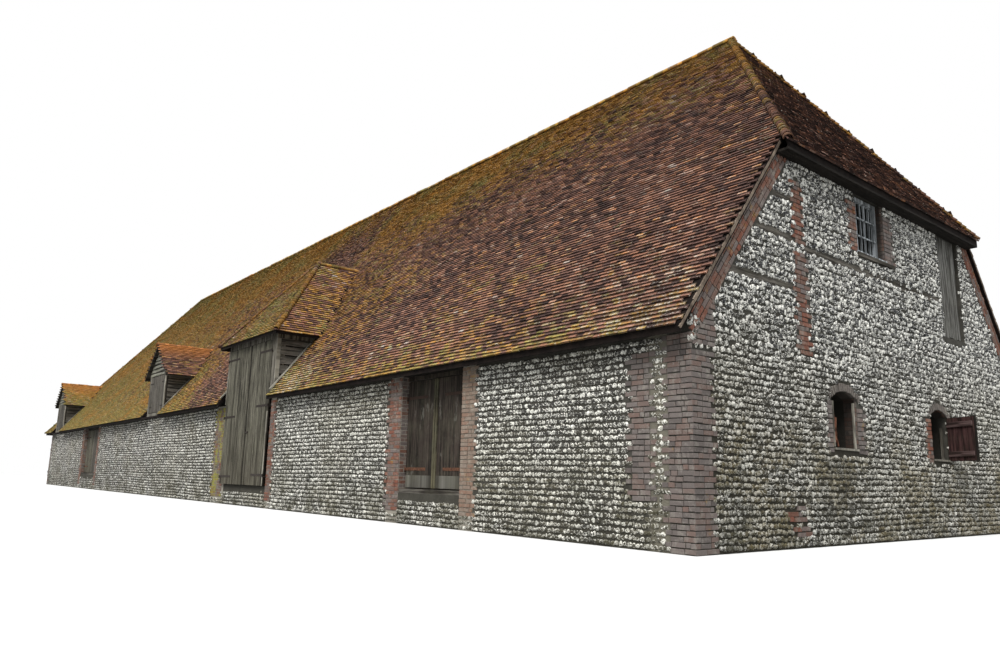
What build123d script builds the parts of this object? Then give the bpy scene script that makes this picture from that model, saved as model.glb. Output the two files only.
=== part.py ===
from build123d import *
import math
import os

# Tithe barn, half-size model in millimetres.
# X runs along the barn with the half-hipped gable at +X, the long wall with the tall midstrey faces -Y,
# and Z is up from the lowest ground that the walls reach. Distances called "from the gable" run towards -X.

# Plan
LENGTH = 23375.0
WIDTH = 6175.0
WALL = 320.0

# Main roof
PITCH = 51.94
EAVES_Z = 1500.0
EAVES_OUT = 150.0
VERGE_OUT = 35.0
ROOF_PLUMB = 60.0
RIDGE_FROM_GABLE = 1630.0
RIDGE_FROM_FAR_END = 2920.0
HALF_HIP_EAVES_Z = 3170.0
HALF_HIP_OUT = 125.0

# Walls and brickwork
WALL_TOP = 1475.0
QUOIN = 200.0
GABLE_TOP = 3150.0
RAKE_BRICK = 150.0
SILL_TOP = 30.0
EAVES_TRIM = 30.0

# Timber along the wall heads
PLATE_SETBACK = 10.0
PLATE_WIDTH = 140.0

# Tall midstrey on the front
MIDSTREY_FROM_GABLE = 7760.0
MIDSTREY_HALF = 900.0
MIDSTREY_EAVES_Z = 2385.0
MIDSTREY_ROOF_HALF = 1060.0
MIDSTREY_EAVES_OUT = 140.0
MIDSTREY_OPENING_DEPTH = 543.0
MIDSTREY_SILL_Z = 285.0
MIDSTREY_HEAD_Z = 2300.0
MIDSTREY_POST = 80.0
MIDSTREY_ROOF_PLUMB = 55.0
CHEEK_BOARD = 20.0
HEAD_BEAM_DEPTH = 100.0
NEAR_POST_WIDTH = 140.0
NEAR_PIER_PROUD = 25.0
FAR_PIER_WIDTH = 520.0

# Doorways in the long walls: near jamb, opening and far jamb, from the gable
LOW_DOOR_TOP = 1420.0
MIDDLE_DOOR = (2375.0, 2575.0, 3625.0, 3850.0)
MIDDLE_SILL_Z = 300.0
FAR_DOOR = (17125.0, 17300.0, 18800.0, 18975.0)
FAR_SILL_Z = 335.0
REAR_DOOR = (6785.0, 6985.0, 8535.0, 8735.0)
REAR_SILL_Z = 285.0
SILL_BEAM = 40.0

# Door leaves
LEAF = 20.0
LEDGE = (25.0, 70.0)
LEDGE_INSET = 12.0
BRACE_BOARD = 60.0
DOOR_GAP = 6.0
DOOR_FOOT_GAP = 8.0
DOOR_RECESS = 75.0
TALL_DOOR_SEAT = 22.0
TALL_LEAF_OVERLAP = 60.0
STRAP = (8.0, 30.0)
BARREL = 9.0
BARREL_STANDOFF = 12.0
PIN = 5.0
PIN_FIT = 0.3
BRACKET = 10.0
STRAP_LENGTH = 420.0
NEAR_STRAP_Z = (435.0, 1385.0, 2150.0)
FAR_STRAP_Z = (405.0, 1280.0, 2150.0)
LOW_STRAP_Z = (535.0, 1250.0)
LOW_STRAP_LENGTH = 360.0

# Dormers, to the middle of each
NEAR_DORMER_FROM_GABLE = 12450.0
FAR_DORMER_FROM_END = 1325.0
DORMER_HALF = 525.0
DORMER_PROUD = 50.0
DORMER_FRONT = 30.0
DORMER_CHEEK = 20.0
DORMER_RIDGE_Z = 2895.0
DORMER_PITCH = 43.0
DORMER_ROOF_HALF = 690.0
DORMER_ROOF_PLUMB = 40.0
DORMER_VERGE_OUT = 75.0
DORMER_OPENING_DEPTH = 300.0

# Near gable: windows from the front corner and hatch from the rear corner along Y, and heights
LOW_WINDOWS = ((1835.0, 2250.0, 755.0, 1175.0, 60.0), (3720.0, 4100.0, 725.0, 1150.0, 65.0))
UPPER_WINDOW = (2465.0, 3000.0, 2535.0, 3110.0)
HATCH_FROM_REAR = (1925.0, 1425.0)
HATCH_Z = (2000.0, 3110.0)
ARCH_RING = 60.0
BRICK_JAMB = 150.0
BRICK_DEPTH = 110.0
BOND_TIMBERS = ((1100.0, 1400.0, 2715.0), (850.0, 1370.0, 2390.0), (425.0, 1420.0, 1975.0))
LONG_BOND_TIMBER = (1535.0, 2330.0)
BOND_TO_HATCH = 85.0
BOND_TIMBER = (50.0, 60.0)
WINDOW_FRAME = 35.0
WINDOW_SETBACK = 60.0
WINDOW_SILL = (35.0, 20.0)
SILL_OVERRUN = (20.0, 160.0)
WINDOW_BARS = 5
BAR = 16.0
HATCH_BOARD = 30.0
HATCH_SETBACK = 40.0
SHUTTER_WIDTH = 330.0
SHUTTER_BOARD = 25.0
SHUTTER_OPEN = 65.0
SHUTTER_GAP = 0.8
FASCIA = (20.0, 40.0)

# Timber frame that carries the roof
AISLE = 1300.0
POST = 130.0
RAFTER_WIDTH = 100.0
RAFTER_PLUMB = 110.0
RAFTER_JOINT = 2.0
TIE_DEPTH = 150.0
TIE_WIDTH = 120.0
TRUSS_NEAR_FROM_GABLE = 1750.0
TRUSS_FAR_FROM_END = 2980.0
MIDSTREY_BAY = 2340.0
NEAR_BAYS = 2
FAR_BAYS = 5
BRACE_RADIUS = 900.0
BRACE_DEPTH = 90.0
BRACE_WIDTH = 70.0
PLATE_OVERRUN = 150.0

# Ridge and hip tiles
RIDGE_TILE = 60.0
RIDGE_TILE_RISE = 25.0
BONNET = 45.0
HIP_MITRE = 1.0

# Derived places
SLOPE = math.tan(math.radians(PITCH))
DORMER_SLOPE = math.tan(math.radians(DORMER_PITCH))
SHUTTER_REACH = (SHUTTER_WIDTH * math.sin(math.radians(SHUTTER_OPEN))
                 + SHUTTER_BOARD * math.cos(math.radians(SHUTTER_OPEN)))
NEAR_REACH = max(HALF_HIP_OUT, SHUTTER_REACH)
GABLE_X = (LENGTH + EAVES_OUT - NEAR_REACH) / 2
FAR_X = GABLE_X - LENGTH
FRONT_Y = -WIDTH / 2
REAR_Y = WIDTH / 2
RIDGE_Z = EAVES_Z + SLOPE * (WIDTH / 2 + EAVES_OUT)
RIDGE_NEAR_X = GABLE_X - RIDGE_FROM_GABLE
RIDGE_FAR_X = FAR_X + RIDGE_FROM_FAR_END
HALF_HIP_X = GABLE_X + HALF_HIP_OUT
FAR_EAVES_X = FAR_X - EAVES_OUT
HALF_HIP_SLOPE = (RIDGE_Z - HALF_HIP_EAVES_Z) / (HALF_HIP_X - RIDGE_NEAR_X)
FAR_HIP_SLOPE = (RIDGE_Z - EAVES_Z) / (RIDGE_FAR_X - FAR_EAVES_X)
EAVES_Y = WIDTH / 2 + EAVES_OUT
HALF_HIP_HALF = (RIDGE_Z - HALF_HIP_EAVES_Z) / SLOPE
MIDSTREY_X = GABLE_X - MIDSTREY_FROM_GABLE
MIDSTREY_NEAR = MIDSTREY_FROM_GABLE - MIDSTREY_HALF
MIDSTREY_FAR = MIDSTREY_FROM_GABLE + MIDSTREY_HALF
NEAR_PIER_FROM_GABLE = (MIDSTREY_NEAR - NEAR_PIER_PROUD, MIDSTREY_NEAR + NEAR_POST_WIDTH)
FAR_PIER_FROM_GABLE = (MIDSTREY_FAR - MIDSTREY_POST, MIDSTREY_FAR - MIDSTREY_POST + FAR_PIER_WIDTH)
TALL_DOOR_PROUD = LEAF + TALL_DOOR_SEAT
DORMERS_FROM_GABLE = (NEAR_DORMER_FROM_GABLE, LENGTH - FAR_DORMER_FROM_END)
HATCH = (WIDTH - HATCH_FROM_REAR[0], WIDTH - HATCH_FROM_REAR[1], *HATCH_Z)
MIDSTREY_RIDGE_Z = MIDSTREY_EAVES_Z + SLOPE * MIDSTREY_ROOF_HALF
TALL = 2 * RIDGE_Z


def from_gable(distance):
    """X of a place that lies this far from the outside of the near gable."""
    return GABLE_X - distance


def main_z(y):
    """Top of the main slopes above a place across the barn."""
    return RIDGE_Z - SLOPE * abs(y)


def main_y(z):
    """Distance from the centre line at which the main slopes stand at this height."""
    return (RIDGE_Z - z) / SLOPE


def half_hip_z(x):
    return HALF_HIP_EAVES_Z + HALF_HIP_SLOPE * (HALF_HIP_X - x)


def far_hip_z(x):
    return EAVES_Z + FAR_HIP_SLOPE * (x - FAR_EAVES_X)


def block(x0, x1, y0, y1, z0, z1):
    """Box between two corners."""
    size = (abs(x1 - x0), abs(y1 - y0), abs(z1 - z0))
    return Pos((x0 + x1) / 2, (y0 + y1) / 2, (z0 + z1) / 2) * Box(*size)


def along_x(points, x0, x1):
    """Solid with an outline in Y and Z, from x0 to x1."""
    outline = Polyline(*[(x0, y, z) for y, z in points], close=True)
    return extrude(make_face(outline), amount=x1 - x0, dir=(1, 0, 0))


def along_y(points, y0, y1):
    """Solid with an outline in X and Z, from y0 to y1."""
    outline = Polyline(*[(x, y0, z) for x, z in points], close=True)
    return extrude(make_face(outline), amount=y1 - y0, dir=(0, 1, 0))


def slope_slab(points, plumb):
    """Roof slab under a flat sloping outline, with plumb-cut edges that meet their neighbours at the hips."""
    return extrude(make_face(Polyline(*points, close=True)), amount=plumb, dir=(0, 0, -1))


def only_solids(shape):
    """The solids of a shape as a plain list."""
    return list(shape.solids())


def largest(shape):
    """The biggest solid that a cut leaves."""
    return max(only_solids(shape), key=lambda solid: solid.volume)


def save(name, *shapes):
    """One file per sub-part; loose solids of like pieces share it."""
    solids = [s for shape in shapes for s in only_solids(shape)]
    whole = solids[0] if len(solids) == 1 else Compound(children=solids)
    whole.label = name
    export_step(whole, f"parts/{name}.step")


def main_attic(drop=0.0):
    """Everything under the four main slopes, lowered by a plumb drop."""
    near = HALF_HIP_X
    low = WALL_TOP / 2
    half = main_y(low + drop)
    prism = along_x([(-half, low), (0, RIDGE_Z - drop), (half, low)], FAR_X - WIDTH, near)
    hip_foot = FAR_EAVES_X - (EAVES_Z - low - drop) / FAR_HIP_SLOPE
    far_top = TALL
    keep_far = along_y([(hip_foot, low), (near, low), (near, far_top),
                        (FAR_EAVES_X + (far_top - EAVES_Z + drop) / FAR_HIP_SLOPE, far_top)], -WIDTH, WIDTH)
    hip_top = HALF_HIP_X - (far_top - HALF_HIP_EAVES_Z + drop) / HALF_HIP_SLOPE
    keep_near = along_y([(FAR_X - WIDTH, low), (GABLE_X + WIDTH, low),
                         (GABLE_X + WIDTH, half_hip_z(GABLE_X + WIDTH) - drop), (hip_top, far_top),
                         (FAR_X - WIDTH, far_top)], -WIDTH, WIDTH)
    return prism & keep_far & keep_near


# Flint walls

def long_wall(side, start, end, top=WALL_TOP):
    """Length of a long wall between two distances from the gable, on the front (-1) or rear (+1)."""
    outer = side * WIDTH / 2
    return block(from_gable(end), from_gable(start), outer, outer - side * WALL, 0, top)


def front_walls():
    far_start = FAR_DOOR[3]
    save("front_wall_near", long_wall(-1, QUOIN, MIDDLE_DOOR[0]))
    save("front_wall_middle", long_wall(-1, MIDDLE_DOOR[3], NEAR_PIER_FROM_GABLE[0]))
    save("front_wall_far", long_wall(-1, FAR_PIER_FROM_GABLE[1], FAR_DOOR[0]))
    save("front_wall_end", long_wall(-1, far_start, LENGTH - QUOIN))


def rear_walls():
    save("rear_walls", long_wall(1, QUOIN, REAR_DOOR[0]), long_wall(1, REAR_DOOR[3], LENGTH - QUOIN))


def end_wall(outer_x, inward):
    """Low part of an end wall, between the quoins and inside the ends of the long walls."""
    half = WIDTH / 2
    inner_x = outer_x + inward * WALL
    quoin_x = outer_x + inward * QUOIN
    outside = block(outer_x, quoin_x, -half + QUOIN, half - QUOIN, 0, WALL_TOP)
    inside = block(quoin_x, inner_x, -half + WALL, half - WALL, 0, WALL_TOP)
    return outside + inside


def arched_opening(window, grow=0.0, x0=None, x1=None):
    """Solid that fills a low window: upright sides under a segmental arch, enlarged all round by grow."""
    left, right, sill, springing, rise = window
    near_y = FRONT_Y + left
    far_y = FRONT_Y + right
    middle = (near_y + far_y) / 2
    half = (far_y - near_y) / 2
    radius = (half ** 2 + rise ** 2) / (2 * rise)
    centre_z = springing + rise - radius
    big = radius + grow
    spring_half = half + grow
    spring_z = centre_z + math.sqrt(big ** 2 - spring_half ** 2)
    start = GABLE_X - 2 * WALL if x0 is None else x0
    end = GABLE_X + WALL if x1 is None else x1
    low = sill if grow == 0 else spring_z
    if grow:
        low = springing
    outline = Polyline((start, middle + spring_half, spring_z), (start, middle + spring_half, low),
                       (start, middle - spring_half, low), (start, middle - spring_half, spring_z))
    crown = ThreePointArc((start, middle - spring_half, spring_z), (start, middle, centre_z + big),
                          (start, middle + spring_half, spring_z))
    return extrude(make_face([*outline.edges(), *crown.edges()]), amount=end - start, dir=(1, 0, 0))


def gable_bricks():
    """Arch rings and brick jambs of the gable's openings, set into the outer face of the flint."""
    inner_x = GABLE_X - BRICK_DEPTH
    pieces = []
    for window in LOW_WINDOWS:
        ring = arched_opening(window, ARCH_RING, inner_x, GABLE_X) - arched_opening(window)
        pieces.append(ring)
    first, second = LOW_WINDOWS
    jambs = [(first[1], first[1] + BRICK_JAMB, first[2] - SILL_TOP, first[3]),
             (first[0] - BRICK_JAMB, first[0], first[2] - SILL_TOP, first[3]),
             (second[0] - BRICK_JAMB, second[0], second[2] - SILL_TOP, second[3])]
    for left, right, low, high in jambs:
        pieces.append(block(inner_x, GABLE_X, FRONT_Y + left, FRONT_Y + right, low, high))
    return pieces


def upper_jambs():
    """Brick jambs on both sides of the barred window under the half hip."""
    left, right, sill, head = UPPER_WINDOW
    inner_x = GABLE_X - BRICK_DEPTH
    return [block(inner_x, GABLE_X, FRONT_Y + y, FRONT_Y + y + BRICK_JAMB, sill, head)
            for y in (left - BRICK_JAMB, right)]


def near_gable_lower():
    wall = end_wall(GABLE_X, -1)
    for window in LOW_WINDOWS:
        wall -= arched_opening(window)
    for piece in gable_bricks():
        wall -= piece
    return wall


def rake_outline(inset):
    """Outline of the gable above the wall heads, its raking sides moved in by inset along Y."""
    roof_drop = ROOF_PLUMB
    side = WIDTH / 2 - inset
    shoulder_z = main_z(WIDTH / 2) - roof_drop
    top_half = main_y(GABLE_TOP + roof_drop) - inset
    return [(-side, WALL_TOP), (side, WALL_TOP), (side, shoulder_z), (top_half, GABLE_TOP),
            (-top_half, GABLE_TOP), (-side, shoulder_z)]


def rake_bricks():
    """Brick edging up both rakes of the gable, right through the wall."""
    inset = RAKE_BRICK / math.sin(math.radians(PITCH))
    whole = along_x(rake_outline(0), GABLE_X - WALL, GABLE_X)
    core = along_x(rake_outline(inset), GABLE_X - 2 * WALL, GABLE_X + WALL)
    return whole - core


def bond_timbers():
    """Long timbers bedded flush in the flint of the upper gable."""
    depth, height = BOND_TIMBER
    rake_inset = RAKE_BRICK / math.sin(math.radians(PITCH))
    core = along_x(rake_outline(rake_inset), GABLE_X - 2 * WALL, GABLE_X + WALL)
    long_start, long_z = LONG_BOND_TIMBER
    timbers = [*BOND_TIMBERS, (long_start, HATCH[0] - BOND_TO_HATCH, long_z)]
    return [block(GABLE_X - depth, GABLE_X, FRONT_Y + y0, FRONT_Y + y1, z, z + height) & core
            for y0, y1, z in timbers]


def window_sill():
    """Timber sill under the barred window, standing proud and running on past its far jamb."""
    left, right, sill = UPPER_WINDOW[:3]
    deep, proud = WINDOW_SILL
    near_end, far_end = SILL_OVERRUN
    return block(GABLE_X - WINDOW_SETBACK, GABLE_X + proud, FRONT_Y + left - near_end, FRONT_Y + right + far_end,
                 sill - deep, sill)


def near_gable_upper():
    inset = RAKE_BRICK / math.sin(math.radians(PITCH))
    wall = along_x(rake_outline(inset), GABLE_X - WALL, GABLE_X)
    for left, right, low, high in (UPPER_WINDOW, HATCH):
        wall -= block(GABLE_X - 2 * WALL, GABLE_X + WALL, FRONT_Y + left, FRONT_Y + right, low, high)
    for piece in [*bond_timbers(), *upper_jambs(), window_sill()]:
        wall -= piece
    return wall


def quoins_and_jambs():
    """Brick piers at the four corners and on both sides of every doorway."""
    piers = []
    for side in (-1, 1):
        outer = side * WIDTH / 2
        for start in (0, LENGTH - QUOIN):
            piers.append(block(from_gable(start + QUOIN), from_gable(start), outer, outer - side * QUOIN, 0, WALL_TOP))
    front_jambs = [MIDDLE_DOOR[:2], MIDDLE_DOOR[2:], FAR_DOOR[:2], FAR_DOOR[2:],
                   NEAR_PIER_FROM_GABLE, FAR_PIER_FROM_GABLE]
    for start, end in front_jambs:
        piers.append(long_wall(-1, start, end))
    for start, end in (REAR_DOOR[:2], REAR_DOOR[2:]):
        piers.append(long_wall(1, start, end))
    return piers


def doorway_plinths():
    """Masonry under each doorway, down to the lowest ground."""
    return [long_wall(-1, MIDDLE_DOOR[1], MIDDLE_DOOR[2], MIDDLE_SILL_Z),
            long_wall(-1, FAR_DOOR[1], FAR_DOOR[2], FAR_SILL_Z),
            long_wall(-1, NEAR_PIER_FROM_GABLE[1], FAR_PIER_FROM_GABLE[0], MIDSTREY_SILL_Z),
            long_wall(1, REAR_DOOR[1], REAR_DOOR[2], REAR_SILL_Z)]


def sill_beams():
    """Timber sills on the plinths of the two lower front doorways."""
    return [block(from_gable(door[2]), from_gable(door[1]), FRONT_Y + PLATE_SETBACK, FRONT_Y + PLATE_WIDTH,
                  sill, sill + SILL_BEAM)
            for door, sill in ((MIDDLE_DOOR, MIDDLE_SILL_Z), (FAR_DOOR, FAR_SILL_Z))]


def door_heads():
    """Fixed boards between the leaves of the lower front doorways and the plate above them."""
    y0 = FRONT_Y + DOOR_RECESS
    return [block(from_gable(door[2]), from_gable(door[1]), y0, y0 + LEAF, LOW_DOOR_TOP + DOOR_FOOT_GAP, WALL_TOP)
            for door in (MIDDLE_DOOR, FAR_DOOR)]


# Timber frame

def wall_plate(side, x0, x1):
    """Plate on a long wall with its top bevelled to the slope; it is also the lintel of the low doorways."""
    outer = WIDTH / 2 - PLATE_SETBACK
    inner = outer - PLATE_WIDTH
    points = [(side * outer, WALL_TOP), (side * outer, main_z(outer) - ROOF_PLUMB),
              (side * inner, main_z(inner) - ROOF_PLUMB), (side * inner, WALL_TOP)]
    return along_x(points, x0, x1)


def wall_plates():
    near_x = GABLE_X - WALL
    far_x = FAR_X + PLATE_SETBACK + PLATE_WIDTH
    midstrey_near = MIDSTREY_X + MIDSTREY_HALF
    midstrey_far = MIDSTREY_X - MIDSTREY_HALF
    plates = [wall_plate(-1, midstrey_near, near_x), wall_plate(-1, far_x, midstrey_far), wall_plate(1, far_x, near_x)]
    dormer_spaces = [dormer_space(middle) for middle in DORMERS_FROM_GABLE]
    for space in dormer_spaces:
        plates[1] -= space
    end_outer = FAR_X + PLATE_SETBACK
    end_inner = end_outer + PLATE_WIDTH
    end_half = WIDTH / 2 - PLATE_SETBACK - PLATE_WIDTH
    plates.append(along_y([(end_outer, WALL_TOP), (end_inner, WALL_TOP), (end_inner, far_hip_z(end_inner) - ROOF_PLUMB),
                           (end_outer, far_hip_z(end_outer) - ROOF_PLUMB)], -end_half, end_half))
    under_roof = main_attic(ROOF_PLUMB)
    return [plate & under_roof for plate in plates]


def truss_places():
    """X of each truss: bays from the near ridge end, a wide bay at the midstrey, and bays to the far hip."""
    near = from_gable(TRUSS_NEAR_FROM_GABLE)
    bay_near = MIDSTREY_X + MIDSTREY_BAY / 2
    bay_far = MIDSTREY_X - MIDSTREY_BAY / 2
    far = FAR_X + TRUSS_FAR_FROM_END
    places = [near + (bay_near - near) * i / NEAR_BAYS for i in range(NEAR_BAYS + 1)]
    places += [bay_far + (far - bay_far) * i / FAR_BAYS for i in range(FAR_BAYS + 1)]
    return places


POST_Y = WIDTH / 2 - AISLE
ARCADE_TOP = main_z(POST_Y + POST / 2) - ROOF_PLUMB - RAFTER_PLUMB
ARCADE_FOOT = ARCADE_TOP - POST


def arcade_posts():
    return [block(x - POST / 2, x + POST / 2, side * POST_Y - POST / 2, side * POST_Y + POST / 2, 0, ARCADE_FOOT)
            for x in truss_places() for side in (-1, 1)]


def arcade_plates():
    far_x = truss_places()[-1] - PLATE_OVERRUN
    return [block(far_x, GABLE_X - WALL, side * POST_Y - POST / 2, side * POST_Y + POST / 2, ARCADE_FOOT, ARCADE_TOP)
            for side in (-1, 1)]


def tie_beams():
    """Beams across the nave on the arcade plates, their ends bevelled under the rafters."""
    drop = RAFTER_PLUMB + ROOF_PLUMB
    low_half = main_y(ARCADE_TOP + drop)
    high_half = main_y(ARCADE_TOP + TIE_DEPTH + drop)
    points = [(-low_half, ARCADE_TOP), (low_half, ARCADE_TOP), (high_half, ARCADE_TOP + TIE_DEPTH),
              (-high_half, ARCADE_TOP + TIE_DEPTH)]
    return [along_x(points, x - TIE_WIDTH / 2, x + TIE_WIDTH / 2) for x in truss_places()]


def principal_rafters():
    """Rafters from the wall plates to the ridge, one pair to a truss."""
    foot = WIDTH / 2 - PLATE_SETBACK - PLATE_WIDTH
    head = RAFTER_JOINT / 2
    rafters = []
    for x in truss_places():
        for side in (-1, 1):
            points = [(side * foot, main_z(foot) - ROOF_PLUMB), (side * head, main_z(head) - ROOF_PLUMB),
                      (side * head, main_z(head) - ROOF_PLUMB - RAFTER_PLUMB),
                      (side * foot, main_z(foot) - ROOF_PLUMB - RAFTER_PLUMB)]
            rafters.append(along_x(points, x - RAFTER_WIDTH / 2, x + RAFTER_WIDTH / 2))
    return rafters


def arcade_braces():
    """Curved braces from each post up to its tie beam."""
    inner_y = POST_Y - POST / 2
    low_z = ARCADE_TOP - BRACE_RADIUS
    braces = []
    for x in truss_places():
        for side in (-1, 1):
            centre_y = inner_y - BRACE_RADIUS
            outer = BRACE_RADIUS
            inner = BRACE_RADIUS - BRACE_DEPTH
            x0 = x - BRACE_WIDTH / 2
            half = math.sqrt(0.5)
            arcs = [ThreePointArc((x0, side * (centre_y + r), low_z), (x0, side * (centre_y + r * half), low_z + r * half),
                                  (x0, side * centre_y, low_z + r)) for r in (outer, inner)]
            ends = [Line((x0, side * (centre_y + inner), low_z), (x0, side * (centre_y + outer), low_z)),
                    Line((x0, side * centre_y, low_z + inner), (x0, side * centre_y, low_z + outer))]
            face = make_face([*arcs[0].edges(), *arcs[1].edges(), *ends[0].edges(), *ends[1].edges()])
            braces.append(extrude(face, amount=BRACE_WIDTH, dir=(1, 0, 0)))
    return braces


# Main roof

def midstrey_space():
    """Plan of the opening in the front slope behind the tall doors, right through the roof."""
    half = MIDSTREY_HALF - CHEEK_BOARD
    return (MIDSTREY_X - half, MIDSTREY_X + half, FRONT_Y + MIDSTREY_OPENING_DEPTH)


def dormer_space(from_gable_middle):
    """Opening in the front slope and the plate behind a dormer's front."""
    middle = from_gable(from_gable_middle)
    half = DORMER_HALF - DORMER_CHEEK
    return block(middle - half, middle + half, FRONT_Y - 2 * EAVES_OUT, FRONT_Y + DORMER_OPENING_DEPTH, WALL_TOP, RIDGE_Z)


def roof_slopes():
    far_side, near_side, back = midstrey_space()
    eaves = -EAVES_Y
    verge = GABLE_X + VERGE_OUT
    verge_y = -(RIDGE_Z - half_hip_z(verge)) / SLOPE
    front_face = [(FAR_EAVES_X, eaves, EAVES_Z), (verge, eaves, EAVES_Z), (verge, verge_y, half_hip_z(verge)),
                  (RIDGE_NEAR_X, 0, RIDGE_Z), (RIDGE_FAR_X, 0, RIDGE_Z)]
    front = slope_slab(front_face, ROOF_PLUMB)
    posts = block(MIDSTREY_X - MIDSTREY_HALF, MIDSTREY_X + MIDSTREY_HALF, -WIDTH,
                  FRONT_Y + MIDSTREY_POST, 0, TALL)
    posts += block(MIDSTREY_X - MIDSTREY_HALF - EAVES_TRIM, MIDSTREY_X + MIDSTREY_HALF + EAVES_TRIM, -WIDTH,
                   FRONT_Y - PLATE_SETBACK, 0, TALL)
    near_part = (front & block(near_side, GABLE_X + WIDTH, -WIDTH, 0, 0, TALL)) - posts
    over_part = front & block(far_side, near_side, back, 0, 0, TALL)
    far_part = (front & block(FAR_X - WIDTH, far_side, -WIDTH, 0, 0, TALL)) - posts
    for middle in DORMERS_FROM_GABLE:
        far_part -= dormer_space(middle)
    save("roof_front_near", near_part)
    save("roof_front_over", over_part)
    save("roof_front_far", far_part)
    save("roof_rear", slope_slab([(x, -y, z) for x, y, z in front_face], ROOF_PLUMB))
    half_hip_face = [(HALF_HIP_X, -HALF_HIP_HALF, HALF_HIP_EAVES_Z), (HALF_HIP_X, HALF_HIP_HALF, HALF_HIP_EAVES_Z),
                     (RIDGE_NEAR_X, 0, RIDGE_Z)]
    save("roof_half_hip", slope_slab(half_hip_face, ROOF_PLUMB))
    far_hip_face = [(FAR_EAVES_X, eaves, EAVES_Z), (FAR_EAVES_X, -eaves, EAVES_Z), (RIDGE_FAR_X, 0, RIDGE_Z)]
    save("roof_far_hip", slope_slab(far_hip_face, ROOF_PLUMB))


def half_hip_board():
    """Plate on the gable, boarded soffit and fascia under the eaves of the half hip."""
    thick, deep = FASCIA
    fascia_x = HALF_HIP_X - thick
    low = half_hip_z(HALF_HIP_X) - ROOF_PLUMB - deep / 2
    soffit = low + thick
    plate_x = GABLE_X - PLATE_WIDTH
    points = [(plate_x, GABLE_TOP), (GABLE_X, GABLE_TOP), (GABLE_X, low), (fascia_x + thick, low),
              (fascia_x + thick, half_hip_z(fascia_x + thick) - ROOF_PLUMB), (fascia_x, half_hip_z(fascia_x) - ROOF_PLUMB),
              (fascia_x, soffit), (GABLE_X + thick, soffit), (GABLE_X + thick, half_hip_z(GABLE_X + thick) - ROOF_PLUMB),
              (plate_x, half_hip_z(plate_x) - ROOF_PLUMB)]
    board = along_y(points, -HALF_HIP_HALF, HALF_HIP_HALF)
    prism = along_x([(-WIDTH, RIDGE_Z - ROOF_PLUMB - SLOPE * WIDTH), (0, RIDGE_Z - ROOF_PLUMB),
                     (WIDTH, RIDGE_Z - ROOF_PLUMB - SLOPE * WIDTH)], GABLE_X - WIDTH, GABLE_X + WIDTH)
    return board & prism


def ridge_tiles():
    """Half-round ridge tiles bedded on the arris."""
    side_z = RIDGE_Z - SLOPE * RIDGE_TILE
    crown_z = RIDGE_Z - RIDGE_TILE_RISE
    x0 = RIDGE_FAR_X
    lines = Polyline((x0, RIDGE_TILE, crown_z), (x0, RIDGE_TILE, side_z), (x0, 0, RIDGE_Z),
                     (x0, -RIDGE_TILE, side_z), (x0, -RIDGE_TILE, crown_z))
    crown = ThreePointArc((x0, -RIDGE_TILE, crown_z), (x0, 0, crown_z + RIDGE_TILE), (x0, RIDGE_TILE, crown_z))
    return extrude(make_face([*lines.edges(), *crown.edges()]), amount=RIDGE_NEAR_X - RIDGE_FAR_X, dir=(1, 0, 0))


def bonnet_run(low, high, under, half):
    """Round hip tiles along an arris, seated on the slopes, cut plumb at the eaves and mitred at the top."""
    start = Vector(*low)
    run = Vector(*high) - start
    tube = Solid.make_cylinder(BONNET, run.length, Plane(origin=start, z_dir=run.normalized()))
    return largest((tube - under) & half)


def hip_bonnets():
    """Bonnets on both near hips, both far hips and both hips of the midstrey."""
    under = main_attic() + ridge_tiles()
    runs = []
    for side in (-1, 1):
        half = block(FAR_EAVES_X, HALF_HIP_X, side * HIP_MITRE, side * EAVES_Y, 0, TALL)
        runs.append(bonnet_run((HALF_HIP_X, side * HALF_HIP_HALF, HALF_HIP_EAVES_Z), (RIDGE_NEAR_X, 0, RIDGE_Z),
                               under, half))
        runs.append(bonnet_run((FAR_EAVES_X, side * EAVES_Y, EAVES_Z), (RIDGE_FAR_X, 0, RIDGE_Z), under, half))
    front = FRONT_Y - MIDSTREY_EAVES_OUT
    peak = (MIDSTREY_X, front + MIDSTREY_ROOF_HALF, MIDSTREY_RIDGE_Z)
    under = midstrey_outside()
    for side in (-1, 1):
        half = block(MIDSTREY_X + side * HIP_MITRE, MIDSTREY_X + side * MIDSTREY_ROOF_HALF, front, 0, 0, TALL)
        runs.append(bonnet_run((MIDSTREY_X + side * MIDSTREY_ROOF_HALF, front, MIDSTREY_EAVES_Z), peak, under, half))
    return runs


# Midstrey

def midstrey_posts():
    """Corner posts that stand on the brick piers; the far one is behind the edge of its door leaf."""
    outer = MIDSTREY_X + MIDSTREY_HALF
    near = block(from_gable(NEAR_PIER_FROM_GABLE[1]), outer, FRONT_Y - TALL_DOOR_PROUD, FRONT_Y + MIDSTREY_POST,
                 WALL_TOP, MIDSTREY_HEAD_Z)
    outer = MIDSTREY_X - MIDSTREY_HALF
    far = block(outer, from_gable(FAR_PIER_FROM_GABLE[0]), FRONT_Y, FRONT_Y + MIDSTREY_POST, WALL_TOP, MIDSTREY_HEAD_Z)
    return [near, far]


def midstrey_envelope(drop):
    """Solid under the hip and the two sides of the midstrey roof, reaching back into the main roof."""
    reach = MIDSTREY_ROOF_HALF
    front = FRONT_Y - MIDSTREY_EAVES_OUT
    low = MIDSTREY_EAVES_Z - drop
    top = MIDSTREY_RIDGE_Z - drop
    prism = along_y([(MIDSTREY_X - reach, low), (MIDSTREY_X, top), (MIDSTREY_X + reach, low)], front, 0)
    back = [(front, low), (0, low), (0, top + WIDTH), (front + (top + WIDTH - low) / SLOPE, top + WIDTH)]
    return prism & along_x(back, MIDSTREY_X - 2 * reach, MIDSTREY_X + 2 * reach)


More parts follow.
